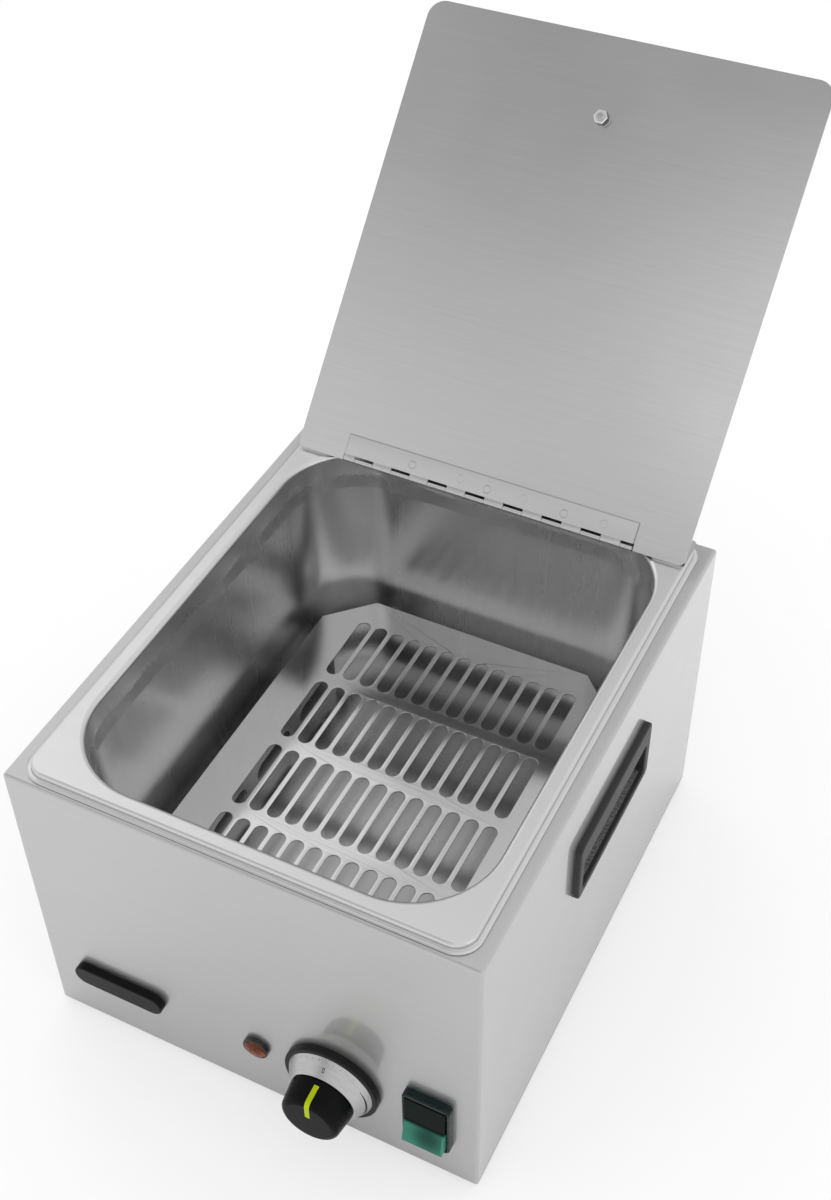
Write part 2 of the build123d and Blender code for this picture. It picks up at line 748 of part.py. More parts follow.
# Knob on the outside of the lid, its stud, and the washer and nut on the inside
outer_face = lid_plane.offset(lid_face)
inner_face = lid_plane.offset(leaf_rise)
knob_axis = Axis(
    origin=outer_face.from_local_coords((0, lid_knob_reach, 0)), direction=outer_face.z_dir
)
knob_section = Plane(
    origin=outer_face.from_local_coords((0, lid_knob_reach, 0)),
    x_dir=(1, 0, 0),
    z_dir=outer_face.y_dir,
)
lid_stud_reach = lid_washer_sheet + lid_nut_height + lid_stud_end
with BuildPart() as lid_knob:
    with BuildSketch(knob_section):
        with BuildLine():
            Polyline(
                (0, 0),
                (lid_knob_neck, 0),
                (lid_knob_neck, lid_knob_height / 3),
                (lid_knob_radius, lid_knob_height - lid_knob_crown),
            )
            dome_arc(lid_knob_radius, lid_knob_height - lid_knob_crown, lid_knob_crown)
            Line((0, lid_knob_height), (0, 0))
        make_face()
    revolve(axis=knob_axis)
    with BuildSketch(outer_face):
        with Locations((0, lid_knob_reach)):
            Circle(lid_stud_radius)
    extrude(amount=-lid_stud_depth, mode=Mode.SUBTRACT)
finish(lid_knob.part, "lid_knob")

with BuildPart() as lid_knob_stud:
    with BuildSketch(outer_face.offset(-lid_stud_depth)):
        with Locations((0, lid_knob_reach)):
            Circle(lid_stud_radius)
    extrude(amount=lid_stud_depth + lid_sheet + lid_stud_reach)
finish(lid_knob_stud.part, "lid_knob_stud")

with BuildPart() as lid_knob_washer:
    with BuildSketch(inner_face):
        with Locations((0, lid_knob_reach)):
            Circle(lid_washer_radius)
            Circle(lid_stud_radius + screw_hole_gap, mode=Mode.SUBTRACT)
    extrude(amount=lid_washer_sheet)
finish(lid_knob_washer.part, "lid_knob_washer")

with BuildPart() as lid_knob_nut:
    with BuildSketch(inner_face.offset(lid_washer_sheet)):
        with Locations((0, lid_knob_reach)):
            RegularPolygon(lid_nut_flats / 2, 6, major_radius=False)
            Circle(lid_stud_radius, mode=Mode.SUBTRACT)
    extrude(amount=lid_nut_height)
finish(lid_knob_nut.part, "lid_knob_nut")

# Handles: moulded cups let into the casing's sides, with a bar over the upper half
finger_length = handle_length - 2 * handle_border
with BuildPart() as handle_right:
    with BuildSketch(right_plane):
        with Locations((handle_y, handle_mid_z)):
            RectangleRounded(handle_length, handle_height, handle_corner)
    extrude(amount=handle_proud)
    fillet(handle_right.faces().sort_by(Axis.X)[-1].edges(), handle_edge)
    with BuildSketch(right_plane):
        with Locations((handle_y, pocket_mid_z)):
            Rectangle(handle_body_length, handle_body_height)
    extrude(amount=-pocket_depth - handle_wall)
    with BuildSketch(right_plane):
        with Locations((handle_y, pocket_mid_z)):
            RectangleRounded(finger_length, pocket_height, pocket_corner)
    extrude(amount=-pocket_depth, mode=Mode.SUBTRACT)
    with BuildSketch(right_plane.offset(-handle_wall)):
        with Locations((handle_y, sill_z + finger_height / 2)):
            RectangleRounded(finger_length, finger_height, pocket_corner)
    extrude(amount=handle_proud + handle_wall + overrun, mode=Mode.SUBTRACT)
finish(handle_right.part, "handle_right")

with BuildPart() as handle_left:
    mirror(handle_right.part, about=Plane.YZ)
finish(handle_left.part, "handle_left")

# Badge plate, bare
with BuildPart() as badge_plate:
    with BuildSketch(front_plane):
        with Locations((badge_x, badge_z)):
            SlotOverall(badge_length, badge_height)
    extrude(amount=badge_thick)
    fillet(badge_plate.faces().sort_by(Axis.Y)[0].edges(), badge_edge)
finish(badge_plate.part, "badge_plate")

# Thermostat knob: ring and scale are fixed to the panel, the cap turns with the shaft
knob_turn = Axis(origin=(knob_x, -casing_depth / 2, knob_z), direction=(0, -1, 0))
knob_profile = Plane(
    origin=(knob_x, -casing_depth / 2, knob_z), x_dir=(1, 0, 0), z_dir=(0, 0, 1)
)
scale_foot = knob_ring_height
scale_head = scale_foot + scale_height
cap_foot = scale_head + cap_lift
shaft_bore = shaft_radius + turning_gap
with BuildPart() as knob_ring:
    with BuildSketch(front_plane):
        with Locations((knob_x, knob_z)):
            Circle(knob_ring_radius)
    extrude(amount=knob_ring_height)
    fillet(knob_ring.faces().sort_by(Axis.Y)[0].edges(), knob_ring_edge)
    with BuildSketch(front_plane):
        with Locations((knob_x, knob_z)):
            Circle(thermostat_nose_radius + drop_in_gap)
            for side in (-1, 1):
                with Locations((side * thermostat_screw_spacing / 2, 0)):
                    Circle(screw_head_radius + drop_in_gap)
    extrude(amount=knob_ring_height, mode=Mode.SUBTRACT)
finish(knob_ring.part, "knob_ring")

with BuildPart() as knob_scale:
    with BuildSketch(knob_profile):
        with BuildLine():
            Polyline(
                (scale_base_radius, -scale_foot),
                (scale_top_radius, -scale_head),
                (thermostat_nose_radius, -scale_head),
                (thermostat_nose_radius, -scale_head + scale_wall),
                (scale_top_radius - scale_wall, -scale_head + scale_wall),
                (scale_base_radius - scale_wall, -scale_foot),
                close=True,
            )
        make_face()
    revolve(axis=knob_turn)
finish(knob_scale.part, "knob_scale")

# The cap's form, and the same form drawn in by the depth of the indicator's groove
cap_forms = []
for depth in (0, indicator_depth):
    with BuildPart() as form:
        with BuildSketch(front_plane.offset(cap_foot)):
            with Locations((knob_x, knob_z)):
                Circle(cap_base_radius - depth)
        cap_draft = degrees(atan2(cap_base_radius - cap_top_radius, cap_height))
        extrude(amount=cap_height - depth, taper=cap_draft)
        fillet(form.faces().sort_by(Axis.Y)[0].edges(), cap_edge)
    cap_forms.append(form.part)
cap_form, groove_floor = cap_forms
bar_height = cap_base_radius
with BuildPart() as knob_indicator:
    add(cap_form)
    with BuildSketch(front_plane.offset(cap_foot)):
        with Locations((knob_x, knob_z + indicator_start + bar_height / 2)):
            Rectangle(indicator_width, bar_height)
    extrude(amount=cap_height, mode=Mode.INTERSECT)
    add(groove_floor, mode=Mode.SUBTRACT)
finish(knob_indicator.part, "knob_indicator")

with BuildPart() as knob_cap:
    add(cap_form)
    add(knob_indicator.part, mode=Mode.SUBTRACT)
    with BuildSketch(front_plane.offset(cap_foot)):
        with Locations((knob_x, knob_z)):
            Circle(shaft_radius)
            with Locations((0, shaft_radius - shaft_flat / 2)):
                Rectangle(2 * shaft_radius, shaft_flat, mode=Mode.SUBTRACT)
    extrude(amount=cap_bore_depth, mode=Mode.SUBTRACT)
finish(knob_cap.part, "knob_cap")

shaft_length = thermostat_depth / 2 + casing_sheet + cap_foot
with BuildPart() as thermostat_shaft:
    with BuildSketch(panel_back.offset(-thermostat_depth / 2)):
        with Locations((knob_x, knob_z)):
            Circle(shaft_radius)
    extrude(amount=shaft_length)
    with BuildSketch(front_plane.offset(cap_foot)):
        with Locations((knob_x, knob_z)):
            Circle(shaft_radius)
            with Locations((0, shaft_radius - shaft_flat / 2)):
                Rectangle(2 * shaft_radius, shaft_flat, mode=Mode.SUBTRACT)
    extrude(amount=cap_bore_depth)
finish(thermostat_shaft.part, "thermostat_shaft")

# Thermostat behind the panel, with the nose that its shaft turns in
with BuildPart() as thermostat_body:
    with BuildSketch(panel_back):
        with Locations((knob_x, knob_z)):
            Rectangle(thermostat_width, thermostat_height)
    extrude(amount=-thermostat_depth)
    fillet(thermostat_body.edges().filter_by(Axis.Y), thermostat_edge)
    with BuildSketch(panel_back):
        with Locations((knob_x, knob_z)):
            Circle(thermostat_nose_radius)
    extrude(amount=casing_sheet + knob_ring_height)
    with BuildSketch(panel_back.offset(-thermostat_depth / 2)):
        with Locations((knob_x, knob_z)):
            Circle(shaft_bore)
    extrude(amount=thermostat_depth + overrun, mode=Mode.SUBTRACT)
    with BuildSketch(front_plane):
        with Locations((knob_x, knob_z)):
            for side in (-1, 1):
                with Locations((side * thermostat_screw_spacing / 2, 0)):
                    Circle(thermostat_screw_radius)
    extrude(amount=-casing_sheet - thermostat_screw_length, mode=Mode.SUBTRACT)
finish(thermostat_body.part, "thermostat_body")

with BuildPart() as thermostat_screws:
    with BuildSketch(front_plane):
        with Locations((knob_x, knob_z)):
            for side in (-1, 1):
                with Locations((side * thermostat_screw_spacing / 2, 0)):
                    Circle(screw_head_radius)
    extrude(amount=screw_head_height)
    with BuildSketch(front_plane):
        with Locations((knob_x, knob_z)):
            for side in (-1, 1):
                with Locations((side * thermostat_screw_spacing / 2, 0)):
                    Circle(thermostat_screw_radius)
    extrude(amount=-casing_sheet - thermostat_screw_length)
finish(thermostat_screws.part, "thermostat_screws")

# Sensing bulb clipped under the tank, and the capillary that joins it to the thermostat
bulb_z = tank_under - bulb_radius - heater_gap
with BuildPart() as thermostat_bulb:
    with BuildSketch(Plane.XZ.offset(-bulb_y - bulb_length / 2)):
        with Locations((bulb_x, bulb_z)):
            Circle(bulb_radius)
    extrude(amount=bulb_length)
    fillet(thermostat_bulb.edges(), bulb_radius / 2)
finish(thermostat_bulb.part, "thermostat_bulb")

capillary_y = -casing_depth / 2 + casing_sheet + thermostat_depth
capillary_z = knob_z - thermostat_height / 2 + capillary_exit
with BuildPart() as capillary_tube:
    with BuildLine() as capillary_path:
        FilletPolyline(
            (knob_x, capillary_y, capillary_z),
            (knob_x, capillary_y + capillary_lead, capillary_z),
            (bulb_x, bulb_y - bulb_length / 2 - capillary_lead, bulb_z),
            (bulb_x, bulb_y - bulb_length / 2, bulb_z),
            radius=capillary_bend,
        )
    with BuildSketch(Plane(origin=(knob_x, capillary_y, capillary_z), z_dir=(0, 1, 0))):
        Circle(capillary_radius)
    sweep(path=capillary_path.line)
finish(capillary_tube.part, "capillary_tube")

# Pilot lamp: bezel and body in one moulding, with a domed lens
with BuildPart() as lamp_bezel:
    with BuildSketch(front_plane):
        with Locations((lamp_x, lamp_z)):
            Circle(lamp_bezel_radius)
    extrude(amount=lamp_bezel_height)
    fillet(lamp_bezel.faces().sort_by(Axis.Y)[0].edges(), lamp_bezel_edge)
    with BuildSketch(front_plane):
        with Locations((lamp_x, lamp_z)):
            Circle(lamp_body_radius)
    extrude(amount=-lamp_body_depth)
    with BuildSketch(front_plane.offset(lamp_wall)):
        with Locations((lamp_x, lamp_z)):
            Circle(lamp_lens_radius)
    extrude(amount=lamp_bezel_height, mode=Mode.SUBTRACT)
    with BuildSketch(front_plane.offset(lamp_wall)):
        with Locations((lamp_x, lamp_z)):
            Circle(lamp_body_radius - lamp_wall)
    extrude(amount=lamp_wall - lamp_body_depth, mode=Mode.SUBTRACT)
finish(lamp_bezel.part, "lamp_bezel")

lens_foot = lamp_wall
lens_rim = lamp_bezel_height
with BuildPart() as lamp_lens:
    with BuildSketch(
        Plane(origin=(lamp_x, -casing_depth / 2, lamp_z), x_dir=(1, 0, 0), z_dir=(0, 0, 1))
    ):
        with BuildLine():
            Line((0, -lens_foot), (lamp_lens_radius, -lens_foot))
            Line((lamp_lens_radius, -lens_foot), (lamp_lens_radius, -lens_rim))
            dome_arc(lamp_lens_radius, lens_rim, lamp_lens_dome, out=-1)
            Line((0, -lens_rim - lamp_lens_dome), (0, -lens_foot))
        make_face()
    revolve(axis=Axis(origin=(lamp_x, -casing_depth / 2, lamp_z), direction=(0, -1, 0)))
finish(lamp_lens.part, "lamp_lens")

with BuildPart() as lamp_nut:
    with BuildSketch(panel_back):
        with Locations((lamp_x, lamp_z)):
            RegularPolygon(lamp_nut_flats / 2, 6, major_radius=False)
            Circle(lamp_body_radius, mode=Mode.SUBTRACT)
    extrude(amount=-lamp_nut_height)
finish(lamp_nut.part, "lamp_nut")

# Rocker switch: frame and body in one moulding, open at the front for the rocker
with BuildPart() as switch_frame:
    with BuildSketch(front_plane):
        with Locations((switch_x, switch_z)):
            RectangleRounded(switch_width, switch_height, switch_corner)
    extrude(amount=switch_proud)
    fillet(switch_frame.faces().sort_by(Axis.Y)[0].edges(), switch_edge)
    with BuildSketch(front_plane):
        with Locations((switch_x, switch_z)):
            Rectangle(switch_body_width, switch_body_height)
    extrude(amount=-switch_body_depth)
    with BuildSketch(front_plane.offset(-switch_well_depth)):
        with Locations((switch_x, switch_z)):
            Rectangle(switch_body_width - 2 * switch_side, switch_window_height)
    extrude(amount=switch_well_depth + switch_proud + overrun, mode=Mode.SUBTRACT)
finish(switch_frame.part, "switch_frame")

# Rocker, drawn pressed in at the top, and the pin it tilts on
rocker_width = switch_body_width - 2 * switch_side - 2 * rocker_gap
pivot_y = -casing_depth / 2 + rocker_pivot_depth
rocker_plane = Plane(
    origin=(switch_x - rocker_width / 2, pivot_y, switch_z),
    x_dir=(0, -cos(radians(rocker_tilt)), sin(radians(rocker_tilt))),
    z_dir=(1, 0, 0),
)
rocker_half = (
    switch_window_height / 2 - rocker_gap - rocker_tip * sin(radians(rocker_tilt))
) / cos(radians(rocker_tilt))
with BuildPart() as switch_rocker:
    with BuildSketch(rocker_plane):
        with BuildLine():
            Polyline(
                (rocker_valley, 0),
                (rocker_tip, rocker_half),
                (0, rocker_half),
                (-rocker_belly, 0),
                (0, -rocker_half),
                (rocker_tip, -rocker_half),
                close=True,
            )
        make_face()
        Circle(rocker_pin_radius + turning_gap, mode=Mode.SUBTRACT)
    extrude(amount=rocker_width)
finish(switch_rocker.part, "switch_rocker")

with BuildPart() as rocker_pin:
    with BuildSketch(Plane.YZ.offset(switch_x - switch_body_width / 2 + switch_side)):
        with Locations((pivot_y, switch_z)):
            Circle(rocker_pin_radius)
    extrude(amount=switch_body_width - 2 * switch_side)
finish(rocker_pin.part, "rocker_pin")

with BuildPart() as switch_terminals:
    with BuildSketch(front_plane.offset(-switch_body_depth)):
        with Locations((switch_x, switch_z)):
            with GridLocations(terminal_pitch, terminal_pitch, 2, 2):
                Rectangle(terminal_width, terminal_sheet)
    extrude(amount=-terminal_length)
finish(switch_terminals.part, "switch_terminals")

# Cable gland in the rear panel, and its nut inside
with BuildPart() as cable_gland:
    with BuildSketch(rear_plane.offset(casing_sheet)):
        with Locations((-gland_x, gland_z)):
            RegularPolygon(gland_flats / 2, 6, major_radius=False)
    extrude(amount=gland_hex_length)
    with BuildSketch(rear_plane.offset(casing_sheet + gland_hex_length)):
        with Locations((-gland_x, gland_z)):
            Circle(gland_dome_radius)
    extrude(amount=gland_dome_length)
    fillet(cable_gland.faces().sort_by(Axis.Y)[-1].edges(), gland_edge)
    with BuildSketch(rear_plane.offset(casing_sheet)):
        with Locations((-gland_x, gland_z)):
            Circle(gland_thread_radius)
    extrude(amount=-gland_inner_length)
    with BuildSketch(rear_plane.offset(casing_sheet - gland_inner_length - overrun)):
        with Locations((-gland_x, gland_z)):
            Circle(gland_bore_radius)
    extrude(
        amount=gland_inner_length + gland_hex_length + gland_dome_length + 2 * overrun,
        mode=Mode.SUBTRACT,
    )
finish(cable_gland.part, "cable_gland")

with BuildPart() as gland_nut:
    with BuildSketch(rear_plane):
        with Locations((-gland_x, gland_z)):
            RegularPolygon(gland_nut_flats / 2, 6, major_radius=False)
            Circle(gland_thread_radius, mode=Mode.SUBTRACT)
    extrude(amount=-gland_nut_height)
finish(gland_nut.part, "gland_nut")

# Heater: a spreader plate under the tank, a bent element, and two clamps on welded studs
spreader_under = tank_under - spreader_sheet
heater_z = spreader_under - heater_radius - heater_gap
clamp_top = heater_z - heater_radius - heater_gap
clamp_under = clamp_top - clamp_sheet
heater_start = heater_front - heater_cold_end
with BuildPart() as heat_spreader:
    with BuildSketch(Plane.XY.offset(tank_under)):
        RectangleRounded(spreader_width, spreader_length, spreader_corner)
        with GridLocations(2 * clamp_stud_place, 2 * clamp_place, 2, 2):
            Circle(stud_radius + screw_hole_gap, mode=Mode.SUBTRACT)
    extrude(amount=-spreader_sheet)
finish(heat_spreader.part, "heat_spreader")

with BuildPart() as heating_element:
    with BuildLine() as heater_path:
        FilletPolyline(
            (-heater_run_place, heater_start, heater_z),
            (-heater_run_place, heater_rear, heater_z),
            (-heater_inner_place, heater_rear, heater_z),
            (-heater_inner_place, heater_front, heater_z),
            (heater_inner_place, heater_front, heater_z),
            (heater_inner_place, heater_rear, heater_z),
            (heater_run_place, heater_rear, heater_z),
            (heater_run_place, heater_start, heater_z),
            radius=heater_bend,
        )
    with BuildSketch(Plane(origin=(-heater_run_place, heater_start, heater_z), z_dir=(0, 1, 0))):
        Circle(heater_radius)
    sweep(path=heater_path.line)
    with BuildSketch(Plane.XZ.offset(-heater_start)):
        with Locations((-heater_run_place, heater_z), (heater_run_place, heater_z)):
            Circle(heater_pin_radius)
    extrude(amount=heater_pin_length)
finish(heating_element.part, "heating_element")

for along, along_name in ((-1, "front"), (1, "rear")):
    with BuildPart() as heater_clamp:
        with BuildSketch(Plane.XY.offset(clamp_top)):
            with Locations((0, along * clamp_place)):
                Rectangle(clamp_length, clamp_width)
                with GridLocations(2 * clamp_stud_place, 0, 2, 1):
                    Circle(stud_radius + screw_hole_gap, mode=Mode.SUBTRACT)
        extrude(amount=-clamp_sheet)
    finish(heater_clamp.part, f"heater_clamp_{along_name}")

stud_length = tank_under - clamp_under + stud_nut_height + stud_end
with BuildPart() as heater_studs:
    with BuildSketch(Plane.XY.offset(tank_under)):
        with GridLocations(2 * clamp_stud_place, 2 * clamp_place, 2, 2):
            Circle(stud_radius)
    extrude(amount=-stud_length)
finish(heater_studs.part, "heater_studs")

with BuildPart() as heater_nuts:
    with BuildSketch(Plane.XY.offset(clamp_under)):
        with GridLocations(2 * clamp_stud_place, 2 * clamp_place, 2, 2):
            RegularPolygon(stud_nut_flats / 2, 6, major_radius=False)
            Circle(stud_radius, mode=Mode.SUBTRACT)
    extrude(amount=-stud_nut_height)
finish(heater_nuts.part, "heater_nuts")

# Safety cut-out, a disc thermostat on the spreader between the inner runs
with BuildPart() as safety_cutout:
    with BuildSketch(Plane.XY.offset(spreader_under)):
        Circle(cutout_flange_radius)
    extrude(amount=-cutout_flange_sheet)
    with BuildSketch(Plane.XY.offset(spreader_under - cutout_flange_sheet)):
        Circle(cutout_radius)
    extrude(amount=-cutout_height)
    with BuildSketch(Plane.XY.offset(spreader_under - cutout_flange_sheet - cutout_height)):
        with GridLocations(0, cutout_radius, 1, 2):
            Rectangle(terminal_width, terminal_sheet)
    extrude(amount=-terminal_length)
finish(safety_cutout.part, "safety_cutout")

# Clip that holds the sensing bulb against the tank
clip_inner = bulb_radius + heater_gap
clip_outer = clip_inner + clip_sheet
with BuildPart() as bulb_clip:
    with BuildSketch(Plane.XZ.offset(-bulb_y - clip_width / 2)):
        with Locations((bulb_x, bulb_z)):
            Circle(clip_outer)
        with Locations((bulb_x, (bulb_z + tank_under) / 2)):
            Rectangle(2 * clip_outer, tank_under - bulb_z)
        with Locations((bulb_x, tank_under - clip_sheet / 2)):
            Rectangle(2 * (clip_outer + clip_foot), clip_sheet)
        with Locations((bulb_x, bulb_z)):
            Circle(clip_inner, mode=Mode.SUBTRACT)
        with Locations((bulb_x, (bulb_z + tank_under) / 2)):
            Rectangle(2 * clip_inner, tank_under - bulb_z, mode=Mode.SUBTRACT)
        with Locations((bulb_x, tank_under + clip_outer / 2)):
            Rectangle(2 * clip_outer, clip_outer, mode=Mode.SUBTRACT)
    extrude(amount=clip_width)
finish(bulb_clip.part, "bulb_clip")

# Terminal block on the base plate, with its screws sunk in the top
way_pitch = block_length / block_ways
block_middle = base_top + block_height / 2
block_place = (block_x, block_y)
with BuildPart() as terminal_block:
    with BuildSketch(Plane.XY.offset(base_top)):
        with Locations(block_place):
            Rectangle(block_length, block_width)
    extrude(amount=block_height)
    chamfer(terminal_block.faces().sort_by(Axis.Z)[-1].edges(), block_edge)
    with BuildSketch(Plane.XY.offset(base_top + block_height)):
        with Locations(block_place):
            with GridLocations(way_pitch, 0, block_ways, 1):
                Circle(block_screw_radius)
    extrude(amount=-block_height / 2, mode=Mode.SUBTRACT)
    with BuildSketch(Plane.XZ.offset(-block_y)):
        with Locations((block_x, block_middle)):
            with GridLocations(way_pitch, 0, block_ways, 1):
                Circle(block_way_radius)
    extrude(amount=block_width, both=True, mode=Mode.SUBTRACT)
finish(terminal_block.part, "terminal_block")

with BuildPart() as terminal_screws:
    with BuildSketch(Plane.XY.offset(base_top + block_height - block_recess)):
        with Locations(block_place):
            with GridLocations(way_pitch, 0, block_ways, 1):
                Circle(block_screw_radius)
    extrude(amount=block_recess - block_height / 2)
finish(terminal_screws.part, "terminal_screws")

# Protective earth stud, welded to the base plate, and its nut
with BuildPart() as earth_stud:
    with BuildSketch(Plane.XY.offset(base_top)):
        with Locations((earth_x, earth_y)):
            Circle(earth_stud_radius)
    extrude(amount=earth_stud_length)
finish(earth_stud.part, "earth_stud")

with BuildPart() as earth_nut:
    with BuildSketch(Plane.XY.offset(base_top)):
        with Locations((earth_x, earth_y)):
            RegularPolygon(earth_nut_flats / 2, 6, major_radius=False)
            Circle(earth_stud_radius, mode=Mode.SUBTRACT)
    extrude(amount=earth_nut_height)
finish(earth_nut.part, "earth_nut")
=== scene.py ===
import json
from math import atan2, cos, pi, radians, sin, sqrt, tan

import bmesh
import bpy
from bpy.props import FloatProperty, FloatVectorProperty, IntProperty, PointerProperty
from bpy.types import Operator, Panel, PropertyGroup
from mathutils import Euler, Matrix, Vector


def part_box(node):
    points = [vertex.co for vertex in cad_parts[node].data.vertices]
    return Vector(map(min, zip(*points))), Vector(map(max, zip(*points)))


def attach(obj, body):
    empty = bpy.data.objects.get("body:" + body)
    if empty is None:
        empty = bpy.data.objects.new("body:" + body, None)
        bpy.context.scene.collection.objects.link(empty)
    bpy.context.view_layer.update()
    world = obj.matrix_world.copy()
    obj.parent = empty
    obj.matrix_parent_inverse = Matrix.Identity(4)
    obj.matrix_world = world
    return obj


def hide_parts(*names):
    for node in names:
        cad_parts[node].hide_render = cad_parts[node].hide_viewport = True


bl_info = {
    "name": "Sausage warmer",
    "version": (1, 0, 0),
    "blender": (4, 5, 0),
    "location": "3D View > Sidebar > Warmer",
    "description": "Builds the looks of a countertop sausage warmer on its packed frame",
    "category": "Object",
}

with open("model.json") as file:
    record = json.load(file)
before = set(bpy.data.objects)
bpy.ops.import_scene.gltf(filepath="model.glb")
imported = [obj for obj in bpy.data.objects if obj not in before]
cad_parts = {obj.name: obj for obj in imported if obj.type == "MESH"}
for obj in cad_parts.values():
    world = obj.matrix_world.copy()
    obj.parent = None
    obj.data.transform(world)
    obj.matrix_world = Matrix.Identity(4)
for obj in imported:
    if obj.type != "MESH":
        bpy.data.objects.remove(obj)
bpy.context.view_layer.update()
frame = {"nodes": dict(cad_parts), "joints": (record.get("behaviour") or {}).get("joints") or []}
JOINTS = {joint["name"]: joint for joint in frame["joints"]}
PIN = Vector(JOINTS["lid_hinge"]["pos_m"])
KNOB = Vector(JOINTS["knob_turn"]["pos_m"])
PIVOT = Vector(JOINTS["rocker_tilt"]["pos_m"])
CASING_LOW, CASING_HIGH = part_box("casing_shell")
TANK_LOW, TANK_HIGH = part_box("water_tank")
FRONT = CASING_LOW.y

MM = 0.001
ORIGIN = (0.0, 0.0, 0.0)
UP = (0.0, 0.0, 1.0)
OUT = (0.0, -1.0, 0.0)

# Lid and hinge, measured from the pin's axis: heights inwards, lengths up the lid
LID_OUTER = 0.05 * MM
LEAF_INNER = 1.05 * MM
LEAF_SHEET = 0.8 * MM
HINGE_LENGTH = 193.4 * MM
NOTCH = 3.0 * MM
LID_LEAF = 16.0 * MM
STRIP_LEAF = 22.0 * MM


def number(name, description, default, **kind):
    return FloatProperty(name=name, description=description, default=default, **kind)


def length(name, description, default):
    return number(name, description, default * MM, unit="LENGTH")


def triple(name, description, *default, **kind):
    return FloatVectorProperty(name=name, description=description, default=default, **kind)


def paint(name, description, *default):
    return triple(name, description, *default, subtype="COLOR")


class WarmerSizes(PropertyGroup):
    """Sizes of the pieces that are modelled here."""

    sheet: length("Sheet", "Thickness of the steel sheets", 1.0)
    fold: length("Fold", "Outer radius of the casing's folds", 2.0)
    toe: length("Toe", "Width of the tank's toe on the ledge", 2.5)
    well_corner: length("Well corner", "Corner radius of the well", 50.0)
    flange_reach: length("Flange reach", "Flange beyond the well", 10.0)
    foot_radius: length("Foot radius", "Radius along the well's floor", 28.0)
    draft: number("Draft", "Lean of the well's walls", radians(2.5), subtype="ANGLE")
    lid_lean: number("Lid lean", "Open lid above the horizontal", radians(47.5), subtype="ANGLE")
    slot_width: length("Slot width", "Width of the grate's slots", 9.0)
    slot_pitch: length("Slot pitch", "Pitch of the grate's slots", 12.2)
    slot_columns: IntProperty(name="Slot columns", description="Slots side by side", default=13, min=1)
    slot_rows: IntProperty(name="Slot rows", description="Rows of slots", default=4, min=1)


class WarmerColours(PropertyGroup):
    """Base colours of the finishes."""

    steel: paint("Steel", "Brushed casing and lid", 0.56, 0.56, 0.56)
    drawn: paint("Drawn steel", "Tank and grate", 0.62, 0.62, 0.62)
    black: paint("Black", "Moulded handles and rings", 0.016, 0.016, 0.017)
    pointer: paint("Pointer", "Bar on the knob", 0.42, 0.52, 0.01)
    lens: paint("Lens", "Pilot lamp", 0.62, 0.16, 0.05)
    rocker: paint("Rocker", "Tinted rocker", 0.05, 0.21, 0.15)
    floor: paint("Floor", "Pale floor", 0.92, 0.92, 0.92)


class WarmerStage(PropertyGroup):
    """Camera and lights."""

    camera_place: triple("Camera place", "Where the camera stands", 0.3221, -0.5806, 0.9039)
    camera_turn: triple(
        "Camera turn", "How the camera is turned", radians(45.655), radians(0.708), radians(26.637),
        subtype="EULER",
    )
    camera_lens: number("Lens", "Focal length in millimetres", 51.2)
    key_power: number("Key", "Large softbox behind on the left, watts", 3.5)
    side_power: number("Side", "Softbox on the right, watts", 1.0)
    world_level: number("World", "Tent as the metal mirrors it", 0.97)
    fill_level: number("Fill", "Light of the tent on dull surfaces", 1.12)
    floor_lift: number("Floor lift", "White added to the seen floor", 0.55)
    floor_size: number("Floor", "Floor's side", 6.0, unit="LENGTH")


def sizes():
    return bpy.context.scene.warmer_sizes


def colours():
    return bpy.context.scene.warmer_colours


# Meshes


def spread(name):
    """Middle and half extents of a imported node's box."""
    low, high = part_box(name)
    return (low + high) / 2, (high - low) / 2


def plate(bm, half_x, half_y, place):
    """Level rectangle about place, as its four corners."""
    verts = bmesh.ops.create_grid(bm, x_segments=1, y_segments=1, size=1.0)["verts"]
    bmesh.ops.scale(bm, vec=(half_x, half_y, 1.0), verts=verts)
    bmesh.ops.translate(bm, vec=place, verts=verts)
    return verts


def eased(bm, geom, width, segments, affect="EDGES"):
    """Rounds edges, or corners of a plate, off."""
    return bmesh.ops.bevel(
        bm, geom=geom, offset=width, affect=affect, segments=segments, profile=0.5, material=-1
    )


def ring(bm, half_x, half_y, corner, place, steps):
    """Closed loop of edges: a rounded rectangle about place, level."""
    verts = plate(bm, half_x, half_y, place)
    rounded = eased(bm, verts, max(corner, 0.1 * MM), steps, "VERTICES")
    face = rounded["verts"][0].link_faces[0]
    edges = list(face.edges)
    bmesh.ops.delete(bm, geom=[face], context="FACES_ONLY")
    return edges


def flat(bm, *loops):
    """Level face of triangles between an outer loop and those inside it."""
    edges = [edge for loop in loops for edge in loop]
    bmesh.ops.triangle_fill(bm, use_beauty=True, edges=edges, normal=UP)


def loft(bm, sections, steps, cap_first=False, cap_last=False):
    """Skin through rounded rectangles, each (half x, half y, corner, (x, y, z))."""
    loops = [ring(bm, *section, steps) for section in sections]
    heights = [section[3][2] for section in sections]
    for index in range(len(loops) - 1):
        if abs(heights[index] - heights[index + 1]) < 0.001 * MM:
            flat(bm, loops[index], loops[index + 1])
        else:
            bmesh.ops.bridge_loops(bm, edges=loops[index] + loops[index + 1])
    if cap_first:
        bmesh.ops.contextual_create(bm, geom=loops[0])
    if cap_last:
        bmesh.ops.contextual_create(bm, geom=loops[-1])
    return loops


